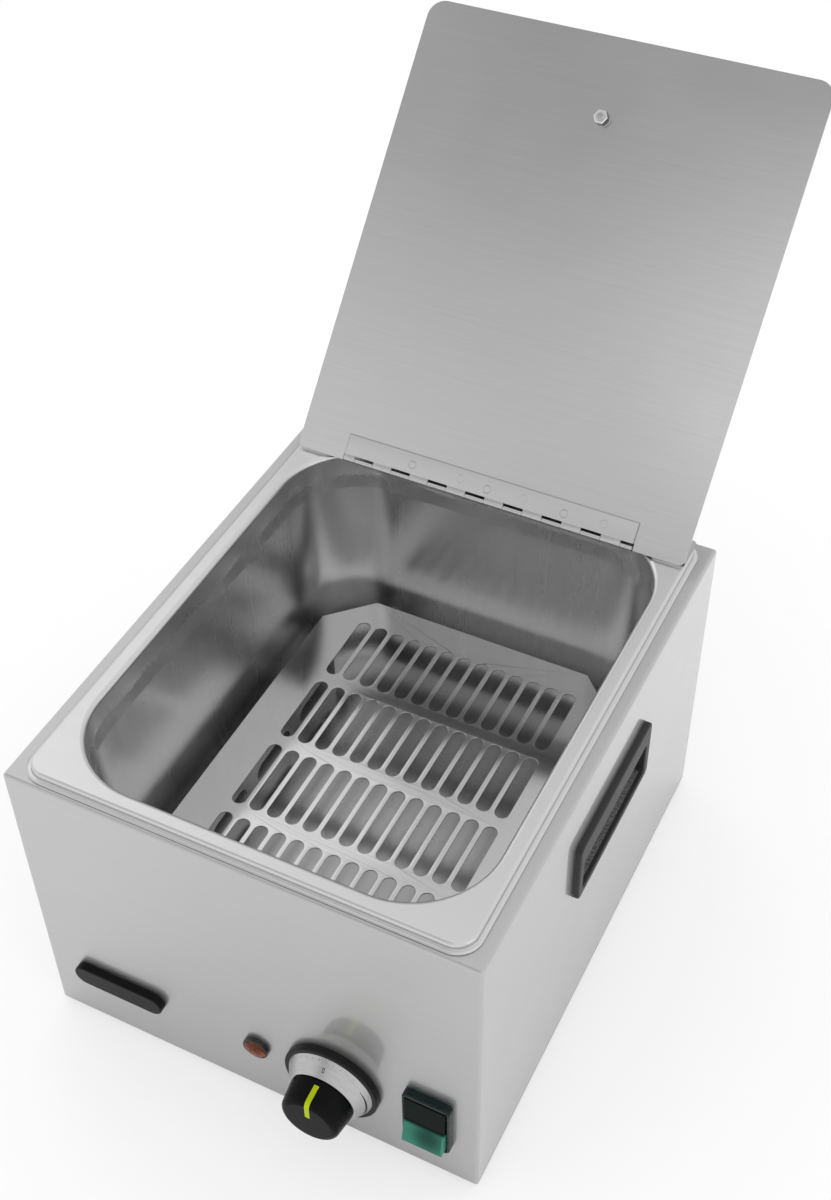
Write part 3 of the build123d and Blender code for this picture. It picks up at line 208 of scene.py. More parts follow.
def softened(points, steps=6):
    """Corners (out, up, radius) as a list of (out, up), each corner rounded by an arc."""
    line = [Vector(points[0][:2])]
    for before, corner, after in zip(points, points[1:], points[2:]):
        at = Vector(corner[:2])
        back = (Vector(before[:2]) - at).normalized()
        ahead = (Vector(after[:2]) - at).normalized()
        if not corner[2]:
            line.append(at)
            continue
        half = back.angle(ahead) / 2
        reach = corner[2] / tan(half)
        centre = at + (back + ahead).normalized() * corner[2] / sin(half)
        start = at + back * reach - centre
        finish = at + ahead * reach - centre
        first = atan2(start.y, start.x)
        sweep = (atan2(finish.y, finish.x) - first + pi) % (2 * pi) - pi
        for step in range(steps + 1):
            angle = first + sweep * step / steps
            line.append(centre + Vector((cos(angle), sin(angle))) * corner[2])
    line.append(Vector(points[-1][:2]))
    return line


def softened_mm(points, steps=6):
    """The same from corners in millimetres."""
    return softened([[value * MM for value in point] for point in points], steps)


def offset_sections(half_x, half_y, corner, path, place=(0.0, 0.0)):
    """Sections of a rounded rectangle grown by each point's out, at its height."""
    return [
        (half_x + out, half_y + out, max(corner + out, 0.2 * MM), (place[0], place[1], up))
        for out, up in path
    ]


def turned(profile, centre, axis, steps):
    """Solid of revolution of a profile of (radius, along) about an axis through centre."""
    bm = bmesh.new()
    axis = Vector(axis)
    side = axis.orthogonal().normalized()
    verts = [bm.verts.new(Vector(centre) + side * radius + axis * along) for radius, along in profile]
    edges = [bm.edges.new(pair) for pair in zip(verts, verts[1:])]
    bmesh.ops.spin(
        bm, geom=verts + edges, cent=centre, axis=axis, angle=2 * pi, steps=steps, use_merge=True
    )
    bmesh.ops.remove_doubles(bm, verts=bm.verts, dist=0.001 * MM)
    return bm


def cut_window(bm, side, low, high):
    """Opens a rectangle in the flat walls that face along side."""
    side = Vector(side)
    across = [axis for axis in range(3) if not side[axis]]
    for corner in (low, high):
        for axis in across:
            wall = [face for face in bm.faces if face.normal.dot(side) > 0.99]
            edges = {edge for face in wall for edge in face.edges}
            verts = {vert for face in wall for vert in face.verts}
            normal = [0.0, 0.0, 0.0]
            normal[axis] = 1.0
            bmesh.ops.bisect_plane(
                bm, geom=wall + list(edges) + list(verts), plane_co=corner, plane_no=normal
            )
    inside = []
    for face in bm.faces:
        middle = face.calc_center_median()
        if face.normal.dot(side) > 0.99 and all(low[axis] < middle[axis] < high[axis] for axis in across):
            inside.append(face)
    bmesh.ops.delete(bm, geom=inside, context="FACES")


def shift(bm, matrix):
    bmesh.ops.transform(bm, matrix=matrix, verts=bm.verts)


def turn_out_of_front(bm, y):
    """Stands a level mesh up on the front at y: its y goes down, and its height outwards."""
    shift(bm, Matrix(((1, 0, 0, 0), (0, 0, -1, y), (0, -1, 0, 0), (0, 0, 0, 1))))


def faced(bm, front=None):
    """Normals that agree; those of an open sheet look to the front."""
    bmesh.ops.recalc_face_normals(bm, faces=bm.faces)
    bm.normal_update()
    if front and sum(face.normal.dot(front) * face.calc_area() for face in bm.faces) < 0:
        bmesh.ops.reverse_faces(bm, faces=bm.faces)


def added(name, data):
    """New object in the scene, at the origin."""
    made = bpy.data.objects.new(name, data)
    bpy.context.scene.collection.objects.link(made)
    return made


def piece(
    name, bm, finish, body, replaced, sharp=35.0, thickness=0.0, bevel=0.0, front=None, grow=-1.0,
    turned_out=False,
):
    """Makes a finished object of the bmesh, at the origin, riding on a body."""
    if not turned_out:
        faced(bm, front)
    mesh = bpy.data.meshes.new(name)
    bm.to_mesh(mesh)
    bm.free()
    for polygon in mesh.polygons:
        polygon.use_smooth = True
    mesh.set_sharp_from_angle(angle=radians(sharp))
    made = added(name, mesh)
    mesh.materials.append(finish.material)
    if thickness:
        wall = made.modifiers.new("Sheet", "SOLIDIFY")
        wall.thickness = thickness
        wall.offset = grow
        wall.use_even_offset = True
    if bevel:
        edge = made.modifiers.new("Edges", "BEVEL")
        edge.width = bevel
        edge.segments = 2
        edge.limit_method = "ANGLE"
        edge.angle_limit = radians(sharp)
    level = made.modifiers.new("Level", "WEIGHTED_NORMAL")
    level.keep_sharp = True
    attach(made, body)
    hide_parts(*replaced)


def dress(name, finish):
    """Gives a carried-over node its finish."""
    slots = frame["nodes"][name].data.materials
    slots.clear()
    slots.append(finish.material)


# Materials


def shade(colour, factor):
    return tuple(min(channel * factor, 1.0) for channel in colour)


def grey(level):
    return (level, level, level)


class Nodes:
    """Short ways to add nodes to a tree and to link them."""

    def __init__(self, tree):
        self.nodes = tree.nodes
        self.links = tree.links

    def feed(self, socket, value):
        """Links another node's output to a socket, or sets its value."""
        if isinstance(value, bpy.types.NodeSocket):
            self.links.new(value, socket)
        elif socket.type == "RGBA":
            socket.default_value = (*value, 1.0)
        else:
            socket.default_value = value

    def add(self, kind, output, inputs=None, **settings):
        """Adds a node, sets and feeds it, and gives one of its outputs."""
        node = self.nodes.new("ShaderNode" + kind)
        for name, value in settings.items():
            setattr(node, name, value)
        for key, value in (inputs or {}).items():
            self.feed(node.inputs[key], value)
        return node.outputs[output]

    def ranged(self, value, low, high, start=0.0, end=1.0, smooth=False):
        inputs = {"Value": value, "From Min": low, "From Max": high, "To Min": start, "To Max": end}
        kind = "SMOOTHSTEP" if smooth else "LINEAR"
        return self.add("MapRange", "Result", inputs, interpolation_type=kind)

    def maths(self, kind, *values):
        return self.add("Math", "Value", dict(enumerate(values)), operation=kind)

    def off(self, value, middle):
        """How far a value lies from the middle."""
        return self.maths("ABSOLUTE", self.maths("SUBTRACT", value, middle))

    def every(self, share, *others):
        """Product of shares."""
        for other in others:
            share = self.maths("MULTIPLY", share, other)
        return share

    def either(self, share, *others):
        """Largest of shares."""
        for other in others:
            share = self.maths("MAXIMUM", share, other)
        return share

    def along(self, place, toward):
        """How far a place lies along a direction."""
        return self.add("VectorMath", "Value", {0: place, 1: toward}, operation="DOT_PRODUCT")

    def mixed(self, share, first, second):
        """Mix of two colours, which are inputs 6 and 7 and output 2 of the node."""
        return self.add("Mix", 2, {0: share, 6: first, 7: second}, data_type="RGBA")

    def mottled(self, noise, colour, low, high):
        """A colour that a noise takes from one shade to another."""
        return self.mixed(self.ranged(noise, 0.3, 0.7), shade(colour, low), shade(colour, high))


class Finish(Nodes):
    """A material, and what the finishes here share."""

    def __init__(self, name, **values):
        self.material = bpy.data.materials.new(name)
        self.material.use_nodes = True
        super().__init__(self.material.node_tree)
        self.shader = self.nodes["Principled BSDF"]
        self.place = self.add("TexCoord", "Object")
        for key, value in values.items():
            self.feed(self.shader.inputs[key.replace("_", " ")], value)

    def moved(self, scale, shift=ORIGIN):
        return self.add("Mapping", "Vector", {"Vector": self.place, "Location": shift, "Scale": scale})

    def noise(self, *scale, detail=2.0):
        """Noise with one scale, or with one for each axis."""
        scale = scale * 3 if len(scale) == 1 else scale
        inputs = {"Vector": self.moved(scale), "Scale": 1.0, "Detail": detail}
        return self.add("TexNoise", "Fac", inputs)

    def axis(self, name):
        return self.add("SeparateXYZ", name, {"Vector": self.place})

    def distance(self, point, flatten=(1.0, 1.0, 1.0)):
        """How far a place lies from a point, after scaling by flatten."""
        shift = [-p * f for p, f in zip(point, flatten)]
        return self.add("VectorMath", "Value", {0: self.moved(flatten, shift)}, operation="LENGTH")

    def tint(self, colour):
        self.feed(self.shader.inputs["Base Color"], colour)

    def overlay(self, share, colour):
        """Lays a colour over the tint so far."""
        under = self.shader.inputs["Base Color"].links[0].from_socket
        self.tint(self.mixed(share, under, colour))

    def gloss(self, value):
        self.feed(self.shader.inputs["Roughness"], value)

    def relief(self, height, depth):
        """Bumps, on top of those so far."""
        inputs = {"Strength": 1.0, "Distance": depth, "Height": height}
        earlier = self.shader.inputs["Normal"].links
        if earlier:
            inputs["Normal"] = earlier[0].from_socket
        self.feed(self.shader.inputs["Normal"], self.add("Bump", "Normal", inputs))


def brushed_steel(name, grain, colour, roughness, polish=0.0, depth=0.0025 * MM):
    """Sheet with fine strokes: grain is small along them and large across."""
    finish = Finish(name, Metallic=1.0, Coat_Weight=polish, Coat_Roughness=0.07)
    strokes = finish.noise(*grain, detail=3.0)
    cloud = finish.noise(9.0)
    finish.tint(finish.mottled(strokes, colour, 0.975, 1.025))
    finish.gloss(finish.ranged(cloud, 0.3, 0.7, roughness - 0.03, roughness + 0.03))
    finish.relief(strokes, depth)
    return finish


def moulded(name, colour, roughness, grain=2600.0, depth=0.02 * MM, sheen=0.5):
    """Moulded plastic with a fine spark-eroded grain."""
    finish = Finish(name, Metallic=0.0, Specular_IOR_Level=sheen)
    pits = finish.noise(grain)
    cloud = finish.noise(60.0)
    finish.tint(finish.mottled(cloud, colour, 0.9, 1.12))
    finish.gloss(finish.ranged(pits, 0.3, 0.7, roughness - 0.05, roughness + 0.05))
    finish.relief(pits, depth)
    return finish


def plain_metal(name, colour, roughness):
    """Turned or pressed small parts, slightly mottled."""
    finish = Finish(name, Metallic=1.0)
    cloud = finish.noise(350.0, detail=3.0)
    finish.tint(finish.mottled(cloud, colour, 0.88, 1.08))
    finish.gloss(finish.ranged(cloud, 0.3, 0.7, roughness - 0.06, roughness + 0.08))
    finish.relief(cloud, 0.01 * MM)
    return finish


def drawn_steel():
    """Satin flange, and a well whose streaked steel is tinted brighter as painted light, with painted
    shade low down towards its floor.
    """
    finish = Finish("drawn_tank", Metallic=1.0)
    steel = tuple(colours().drawn)
    height = finish.axis("Z")
    satin = finish.ranged(height, 0.196, 0.214, smooth=True)
    streaks = finish.noise(90.0, 90.0, 5.0, detail=3.0)
    # Painted light: the well's streaked steel is tinted brighter than the flange's.
    brightened_well = finish.mixed(satin, finish.mottled(streaks, steel, 1.1, 1.16), steel)
    # Painted shade darkens the well low down, towards its floor.
    low_shade = finish.ranged(height, 0.08, 0.116, 1.0, 0.0, smooth=True)
    finish.tint(finish.mixed(low_shade, brightened_well, shade(steel, 0.62)))
    well = finish.ranged(streaks, 0.3, 0.7, 0.24, 0.28)
    finish.gloss(finish.maths("MULTIPLY_ADD", satin, 0.05, well))
    return finish


# Stage

# Direction, the angles over which a patch fades out, and its level in the middle,
# which dims the tent below 1 and brightens it above
TENT_PATCHES = (
    ((-0.30, -0.38, 0.87), 10.0, 24.0, 0.5),
    ((-0.10, -0.47, 0.88), 2.0, 10.0, 0.75),
    ((-0.13, -0.67, 0.73), 1.0, 9.0, 2.2),
    ((-0.12, -0.78, 0.61), 3.0, 14.0, 0.5),
    ((-0.50, 0.70, 0.45), 8.0, 30.0, 0.5),
)


def build_world(context, stage):
    """White tent with patches that metal mirrors; dull surfaces and the camera see it even."""
    world = bpy.data.worlds.new("studio")
    context.scene.world = world
    world.use_nodes = True
    tree = Nodes(world.node_tree)
    direction = tree.add("TexCoord", "Generated")
    tent = stage.world_level
    for toward, near, far, level in TENT_PATCHES:
        near_by = tree.along(direction, Vector(toward).normalized())
        patch = tree.ranged(near_by, cos(radians(near)), cos(radians(far)), level, 1.0, smooth=True)
        tent = tree.maths("MULTIPLY", tent, patch)
    glossy = tree.add("LightPath", "Is Glossy Ray")
    lit = tree.ranged(glossy, 0.0, 1.0, stage.fill_level, tent)
    seen = tree.ranged(tree.add("LightPath", "Is Camera Ray"), 0.0, 1.0, lit, 1.0)
    background = tree.nodes["Background"]
    tree.feed(background.inputs["Strength"], seen)
    tree.feed(background.inputs["Color"], grey(1.0))


def build_floor(stage):
    """Pale floor that fades to white away from the object."""
    bm = bmesh.new()
    plate(bm, stage.floor_size / 2, stage.floor_size / 2, ORIGIN)
    mesh = bpy.data.meshes.new("floor")
    bm.to_mesh(mesh)
    bm.free()
    floor = added("floor", mesh)
    finish = Finish("pale_floor", Metallic=0.0, Roughness=0.9, Specular_IOR_Level=0.0)
    finish.tint(finish.mottled(finish.noise(40.0), colours().floor, 0.995, 1.005))
    away = finish.ranged(finish.distance(ORIGIN), 0.45, 1.1, smooth=True)
    lifted = finish.either(away, stage.floor_lift)
    share = finish.every(lifted, finish.add("LightPath", "Is Camera Ray"))
    white = finish.add("Emission", "Emission")
    inputs = {0: share, 1: finish.shader.outputs["BSDF"], 2: white}
    surface = finish.nodes["Material Output"].inputs["Surface"]
    finish.feed(surface, finish.add("MixShader", "Shader", inputs))
    mesh.materials.append(finish.material)


def add_softbox(name, place, target, size, power):
    lamp = bpy.data.lights.new(name, "AREA")
    lamp.shape = "SQUARE"
    lamp.size = size
    lamp.energy = power
    holder = added(name, lamp)
    holder.location = place
    holder.rotation_euler = (Vector(target) - Vector(place)).to_track_quat("-Z", "Y").to_euler()


class BuildStage(Operator):
    """Floor, world, softboxes and camera"""

    bl_idname = "warmer.stage"
    bl_label = "Stage"

    def execute(self, context):
        stage = context.scene.warmer_stage
        context.scene.view_settings.view_transform = "Standard"
        build_world(context, stage)
        build_floor(stage)
        add_softbox("key", (-1.5, 1.1, 1.7), (0.0, 0.0, 0.1), 1.4, stage.key_power)
        add_softbox("side", (1.6, -0.3, 0.9), (0.0, 0.0, 0.15), 1.0, stage.side_power)
        lens = bpy.data.cameras.new("camera")
        lens.lens = stage.camera_lens
        lens.clip_start, lens.clip_end = 0.01, 50.0
        camera = added("camera", lens)
        camera.location = stage.camera_place
        camera.rotation_euler = Euler(stage.camera_turn)
        context.scene.camera = camera
        return {"FINISHED"}


# Casing, tank and grate


class BuildCasing(Operator):
    """Folded casing with its lip, ledge and openings"""

    bl_idname = "warmer.casing"
    bl_label = "Casing"

    def execute(self, context):
        size = sizes()
        low, high = CASING_LOW.z, CASING_HIGH.z
        lip, ledge, gap = 13.0 * MM, 4.0 * MM, 2.5 * MM
        wall = softened([(-lip, low, 0), (0, low, 1.5 * MM), (0, high, size.fold), (-ledge, high, 0)])
        sections = offset_sections(CASING_HIGH.x, CASING_HIGH.y, size.fold, wall)
        beyond = size.toe + size.flange_reach - gap
        well_x, well_y = TANK_HIGH.x - beyond, TANK_HIGH.y - beyond
        sections.append((well_x, well_y, size.well_corner + gap, (0.0, 0.0, high)))
        bm = bmesh.new()
        loft(bm, sections, steps=12)
        faced(bm, UP)
        openings = (
            ("handle_right", (1.0, 0.0, 0.0), 5.0 * MM, 2.5 * MM),
            ("handle_left", (-1.0, 0.0, 0.0), 5.0 * MM, 2.5 * MM),
            ("rear_panel", (0.0, 1.0, 0.0), 11.0 * MM, 11.0 * MM),
            ("switch_frame", OUT, 1.4 * MM, 1.4 * MM),
        )
        for name, side, beside, above in openings:
            box_low, box_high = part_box(name)
            border = Vector((beside, beside, above))
            cut_window(bm, side, box_low + border, box_high - border)
        steel = shade(colours().steel, 0.86)
        finish = brushed_steel("brushed_casing", (14.0, 14.0, 2200.0), steel, 0.4, polish=1.0)
        piece(
            "casing_folded", bm, finish, "casing", ["casing_shell"],
            thickness=size.sheet, front=UP,
        )
        return {"FINISHED"}


class BuildTank(Operator):
    """Deep-drawn tank with its flange"""

    bl_idname = "warmer.tank"
    bl_label = "Tank"

    def execute(self, context):
        size = sizes()
        top, ledge = TANK_HIGH.z, CASING_HIGH.z
        half_x, half_y = TANK_HIGH.x - size.toe, TANK_HIGH.y - size.toe
        rim_corner = 12.0 * MM
        foot = ledge + size.sheet
        inner = -4.0 * MM
        rim = softened([(size.toe, foot, 0), (0.0, foot, 0.6 * MM), (0.0, top, 2.0 * MM), (inner, top, 0)])
        well_x, well_y = half_x - size.flange_reach, half_y - size.flange_reach
        shoulder = top - 20.0 * MM
        step, soft = 1.5 * MM, 12.0 * MM
        floor = TANK_LOW.z + size.sheet
        base = -step - (shoulder - step - floor) * tan(size.draft)
        inside = softened(
            [(4.0 * MM, top, 0), (0.0, top, 3.0 * MM), (0.0, shoulder + 3.0 * MM, soft),
             (-step, shoulder - 6.0 * MM, soft), (base, floor, size.foot_radius),
             (base - size.foot_radius - 8.0 * MM, floor, 0)],
            steps=10,
        )
        bm = bmesh.new()
        sections = offset_sections(half_x, half_y, rim_corner, rim[:-1])
        sections += offset_sections(well_x, well_y, size.well_corner, inside[1:-1])
        loft(bm, sections, steps=20, cap_last=True)
        piece(
            "tank_drawn", bm, drawn_steel(), "casing", ["water_tank"],
            thickness=size.sheet, front=UP,
        )
        return {"FINISHED"}


class BuildGrate(Operator):
    """Perforated false bottom"""

    bl_idname = "warmer.grate"
    bl_label = "Grate"

    def execute(self, context):
        size = sizes()
        field, row_gap, cut_corner = 228.0 * MM, 8.0 * MM, 27.0 * MM
        slot_length = (field - (size.slot_rows - 1) * row_gap) / size.slot_rows
        half_slot = size.slot_width / 2
        half_x, half_y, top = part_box("grate")[1]
        bm = bmesh.new()
        loops = [ring(bm, half_x, half_y, cut_corner, (0.0, 0.0, top), 1)]
        for column in range(size.slot_columns):
            x = (column - (size.slot_columns - 1) / 2) * size.slot_pitch
            for row in range(size.slot_rows):
                y = (row - (size.slot_rows - 1) / 2) * (slot_length + row_gap)
                loops.append(ring(bm, half_slot, slot_length / 2, half_slot * 0.999, (x, y, top), 6))
        flat(bm, *loops)
        # Painted shade: the grate's steel is tinted darker than the tank's.
        dull = shade(colours().drawn, 0.8)
        finish = brushed_steel("brushed_grate", (14.0, 1500.0, 1500.0), dull, 0.15, depth=0.0003 * MM)
        piece(
            "grate_punched", bm, finish, "grate", ["grate"],
            thickness=size.sheet, bevel=0.25 * MM, front=UP,
        )
        legs = brushed_steel("brushed_legs", (1500.0, 14.0, 1500.0), colours().drawn, 0.3)
        for name in ("grate_leg_left", "grate_leg_right"):
            dress(name, legs)
        return {"FINISHED"}


# Lid and hinge


def lid_frame():
    """From the lid's own plane (x along the hinge, y up the lid, z inwards) to the row frame."""
    return Matrix.Translation(PIN) @ Matrix.Rotation(sizes().lid_lean, 4, "X")


class BuildLid(Operator):
    """Flat lid, notched along the hinge"""

    bl_idname = "warmer.lid"
    bl_label = "Lid"

    def execute(self, context):
        size = sizes()
        half_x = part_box("lid_plate")[1].x
        heel, reach = -1.2 * MM, 287.4 * MM
        bm = bmesh.new()
        middle = (0.0, (reach + heel) / 2, LID_OUTER + size.sheet)
        verts = plate(bm, half_x, (reach - heel) / 2, middle)
        front = [vert for vert in verts if vert.co.y > reach / 2]
        rear = [vert for vert in verts if vert.co.y < reach / 2]
        eased(bm, front, 11.0 * MM, 16, "VERTICES")
        eased(bm, rear, 4.0 * MM, 6, "VERTICES")
        half_notch = HINGE_LENGTH / 2 + 0.3 * MM
        cut_window(bm, UP, (-half_notch, 2 * heel, 0.0), (half_notch, NOTCH, 0.0))
        shift(bm, lid_frame())
        finish = brushed_steel("brushed_lid", (14.0, 2200.0, 2200.0), colours().steel, 0.22)
        piece(
            "lid_sheet", bm, finish, "lid", ["lid_plate"],
            thickness=size.sheet, bevel=0.2 * MM, front=UP,
        )
        return {"FINISHED"}


def knuckle_spans():
    """Start and end of each knuckle along the pin; the first is shorter."""
    pitch, first = 12.7 * MM, 7.8 * MM
    spans = [(-HINGE_LENGTH / 2, -HINGE_LENGTH / 2 + first)]
    while spans[-1][1] < HINGE_LENGTH / 2 - 0.01 * MM:
        spans.append((spans[-1][1], min(spans[-1][1] + pitch, HINGE_LENGTH / 2)))
    return spans


def leaf_steel(place):
    """Brushed leaf with the ring marks of its welds, three strong and three faint, and painted shade along
    its edges.
    """
    finish = brushed_steel("brushed_leaf", (30.0, 1500.0, 1500.0), colours().steel, 0.3)
    strong = [(-50.9, 8.8), (0.0, 8.1), (50.6, 8.0)]
    faint = [(-18.0, 9.5), (24.0, 9.3), (76.0, 9.0)]
    radius, half_width = 2.4 * MM, 0.55 * MM
    rings = []
    for x, y in strong + faint:
        at = place @ Vector((x * MM, y * MM, LEAF_INNER + LEAF_SHEET))
        band = finish.off(finish.distance(at), radius)
        strength = 1.0 if (x, y) in strong else 0.4
        rings.append(finish.ranged(band, 0.0, half_width, strength, 0.0))
    marks = finish.either(*rings)
    finish.relief(marks, -0.12 * MM)
    # Painted shade along the far edge and the ends, laid on with the weld marks.
    shaded_edge = finish.every(edge_shade(finish, place), 0.6)
    lines = finish.either(shaded_edge, finish.every(marks, 0.45))
    finish.overlay(lines, shade(colours().steel, 0.3))
    return finish


def edge_shade(finish, place):
    """Painted shade along the leaf's far edge and its two ends."""
    up = place.col[1].xyz
    edge, end = up.dot(place.translation) + LID_LEAF, HINGE_LENGTH / 2
    rise = finish.along(finish.place, up)
    far = finish.ranged(rise, edge - 0.9 * MM, edge - 0.2 * MM, smooth=True)
    across = finish.maths("ABSOLUTE", finish.axis("X"))
    return finish.either(far, finish.ranged(across, end - 0.7 * MM, end - 0.2 * MM))


def hinge_leaf(name, spans, reach, place, finish, body, node):
    gap = 0.15 * MM
    bm = bmesh.new()
    middle = (0.0, (reach + NOTCH) / 2, LEAF_INNER)
    plate(bm, HINGE_LENGTH / 2 - gap, (reach - NOTCH) / 2, middle)
    for start, end in spans:
        root = [bm.verts.new((x, NOTCH, LEAF_INNER)) for x in (start + gap, end - gap)]
        tip = [bm.verts.new((x, 0.0, LEAF_INNER)) for x in (start + gap, end - gap)]
        bm.faces.new((root[0], root[1], tip[1], tip[0]))
        edge = bm.edges.get(tip)
        bmesh.ops.spin(
            bm, geom=tip + [edge], cent=ORIGIN, axis=(1.0, 0.0, 0.0), angle=radians(318.0), steps=20
        )
    bm.normal_update()
    for face in bm.faces:
        middle = face.calc_center_median()
        if face.normal.dot(Vector((0.0, middle.y, middle.z))) < 0:
            face.normal_flip()
    shift(bm, place)
    piece(
        name, bm, finish, body, [node], thickness=LEAF_SHEET, grow=1.0,
        turned_out=True,
    )


class BuildHinge(Operator):
    """Two leaves with rolled knuckles, their pin and the rear strip"""

    bl_idname = "warmer.hinge"
    bl_label = "Hinge"

    def execute(self, context):
        steel = leaf_steel(lid_frame())
        knuckles = knuckle_spans()
        hinge_leaf("leaf_of_lid", knuckles[0::2], LID_LEAF, lid_frame(), steel, "lid", "lid_hinge_leaf")
        flipped = Matrix.Translation(PIN) @ Matrix.Rotation(pi, 4, "Y")
        mirrored = [(-end, -start) for start, end in knuckles[1::2]]
        hinge_leaf("leaf_of_strip", mirrored, STRIP_LEAF, flipped, steel, "casing", "strip_hinge_leaf")
        dress("hinge_pin", plain_metal("bright_pin", grey(0.6), 0.25))
        dress("rear_strip", brushed_steel("brushed_strip", (14.0, 1800.0, 1800.0), colours().steel, 0.34))
        return {"FINISHED"}


def lid_piece(name, bm, place, finish, node, sharp=35.0):
    shift(bm, place)
    piece(name, bm, finish, "lid", [node], sharp=sharp)


def lid_washer(place, low, thick):
    hole, rim, edge = 2.6 * MM, 5.0 * MM, 0.2 * MM
    high = low + thick
    square = [(hole, low, 0), (rim, low, 0), (rim, high, edge), (hole, high, edge), (hole, low, 0)]
    finish = plain_metal("bright_fixing", grey(0.5), 0.13)
    bm = turned(softened(square, 3), ORIGIN, UP, steps=40)
    lid_piece("washer_inside", bm, place, finish, "lid_knob_washer")


def lid_nut(place, foot, height):
    """Hexagon nut, near white on its top as a painted highlight and near black on its flats as painted
    shade.
    """
    flats, top = 8.0 * MM, foot + height
    corner = flats / sqrt(3.0)
    bm = bmesh.new()
    bmesh.ops.create_cone(
        bm, cap_ends=True, segments=6, radius1=corner, radius2=corner, depth=height,
        matrix=Matrix.Translation((0.0, 0.0, foot + height / 2)) @ Matrix.Rotation(pi / 6, 4, "Z"),
    )
    upright = [edge for edge in bm.edges if abs(edge.verts[0].co.z - edge.verts[1].co.z) > MM]
    eased(bm, upright, 0.35 * MM, 3)
    around = [edge for edge in bm.edges if min(vert.co.z for vert in edge.verts) > top - 0.01 * MM]
    eased(bm, around, 0.5 * MM, 2)
    finish = Finish("plated_nut", Metallic=1.0, Roughness=0.13)
    inward = place.col[2].xyz
    level = inward.dot(place.translation) + top
    # Painted highlight on the top face and painted shade on the flats, split by height.
    share = finish.ranged(finish.along(finish.place, inward), level - 0.35 * MM, level - 0.1 * MM)
    finish.tint(finish.mixed(share, grey(0.1), grey(0.95)))
    lid_piece("nut_inside", bm, place, finish, "lid_knob_nut", sharp=25.0)


def lid_stud(place, end):
    """Stud with the ridges of a thread, 0.8 mm apart."""
    radius, start = 2.5 * MM, -14.0 * MM
    profile = softened([(0.0, start, 0), (radius, start, 0), (radius, end, 0.6 * MM), (0.0, end, 0)], 4)
    finish = plain_metal("threaded_stud", grey(0.5), 0.3)
    turns = finish.maths("PINGPONG", finish.along(finish.place, place.col[2].xyz), 0.4 * MM)
    finish.relief(turns, 0.4)
    bm = turned(profile, ORIGIN, UP, steps=32)
    lid_piece("stud_of_knob", bm, place, finish, "lid_knob_stud")


def lid_knob(place):
    radius, height, neck, crown = 17.0, 25.0, 8.0, 6.0
    profile = softened_mm(
        [(0.0, 0.0, 0), (neck, 0.0, 0.8), (neck, -height / 3, 3.0), (radius, -height + crown, 2.0),
         (radius * 0.6, -height + crown * 0.22, 6.0), (0.0, -height, 0)]
    )
    bm = turned(profile, (0.0, 0.0, LID_OUTER), UP, steps=64)
    finish = moulded("black_lid_knob", colours().black, 0.35)
    lid_piece("knob_of_lid", bm, place, finish, "lid_knob")


class BuildLidFixing(Operator):
    """Knob outside the lid, with its stud, washer and nut inside"""

    bl_idname = "warmer.lid_fixing"
    bl_label = "Lid fixing"

    def execute(self, context):
        place = lid_frame() @ Matrix.Translation((0.0, 238.6 * MM, 0.0))
        inner = LID_OUTER + sizes().sheet
        washer, nut = 1.0 * MM, 4.0 * MM
        lid_nut(place, inner + washer, nut)
        lid_washer(place, inner, washer)
        lid_stud(place, inner + washer + nut + 1.5 * MM)
        lid_knob(place)
        return {"FINISHED"}


# Fittings of the casing


def black_with_lit_sill(sill):
    """Grained black, painted pale as painted light on the upward-facing sill inside the pocket."""
    finish = moulded("black_handles", colours().black, 0.5, grain=1900.0, depth=0.05 * MM)
    off = finish.off(finish.axis("Z"), sill)
    # Painted light: the sill inside the pocket is overlaid pale, mottled by noise.
    lit_sill = finish.ranged(off, 0.3 * MM, 1.0 * MM, 1.0, 0.0, smooth=True)
    across = finish.maths("ABSOLUTE", finish.axis("X"))
    inward = finish.maths("LESS_THAN", across, CASING_HIGH.x + 1.0 * MM)
    sill_mottle = finish.ranged(finish.noise(700.0, detail=3.0), 0.35, 0.65, 0.3, 1.0)
    finish.overlay(finish.every(lit_sill, inward, sill_mottle), grey(0.22))
    return finish


def carrying_handle(name, side, sill, finish):
    middle, half = spread(name)
    face = CASING_HIGH.x
    proud, wall, pocket = 4.0 * MM, 1.5 * MM, 18.5 * MM
    finger_y = half.y - 6.0 * MM
    window, hollow = 12.5 * MM, 18.0 * MM  # half heights, both up from the sill
    ease = 0.2 * MM  # keeps the pocket's rim outside the window's
    path = softened([(0.0, face, 0), (0.0, face + proud, 1.2 * MM), (-3.0 * MM, face + proud, 0)], 4)
    place = (middle.y, middle.z)
    sections = offset_sections(half.y, half.z, 4.0 * MM, path[:-1], place)
    path = softened([(1.2 * MM, face + proud, 0), (0.0, face + proud, 1.0 * MM), (0.0, face, 0)], 4)
    place = (middle.y, sill + window)
    sections += offset_sections(finger_y, window, 3.0 * MM, path[1:], place)
    path = softened([(0.0, face, 0), (0.0, face - pocket, 2.0 * MM), (-2.9 * MM, face - pocket, 0)], 4)
    place = (middle.y, sill + hollow - ease)
    sections += offset_sections(finger_y + ease, hollow, 3.0 * MM, path[:-1], place)
    bm = bmesh.new()
    loops = loft(bm, sections, steps=6, cap_last=True)
    body = [
        (finger_y + wall, hollow + wall, 1.0 * MM, (middle.y, sill + hollow, out))
        for out in (face, face - pocket - wall)
    ]
    outer = loft(bm, body, steps=6, cap_last=True)
    flat(bm, loops[0], outer[0])
    out_of_side = Matrix(((0, 0, side, 0), (1, 0, 0, 0), (0, 1, 0, 0), (0, 0, 0, 1)))
    shift(bm, out_of_side)
    piece(name + "_moulded", bm, finish, "casing", [name], sharp=40.0)


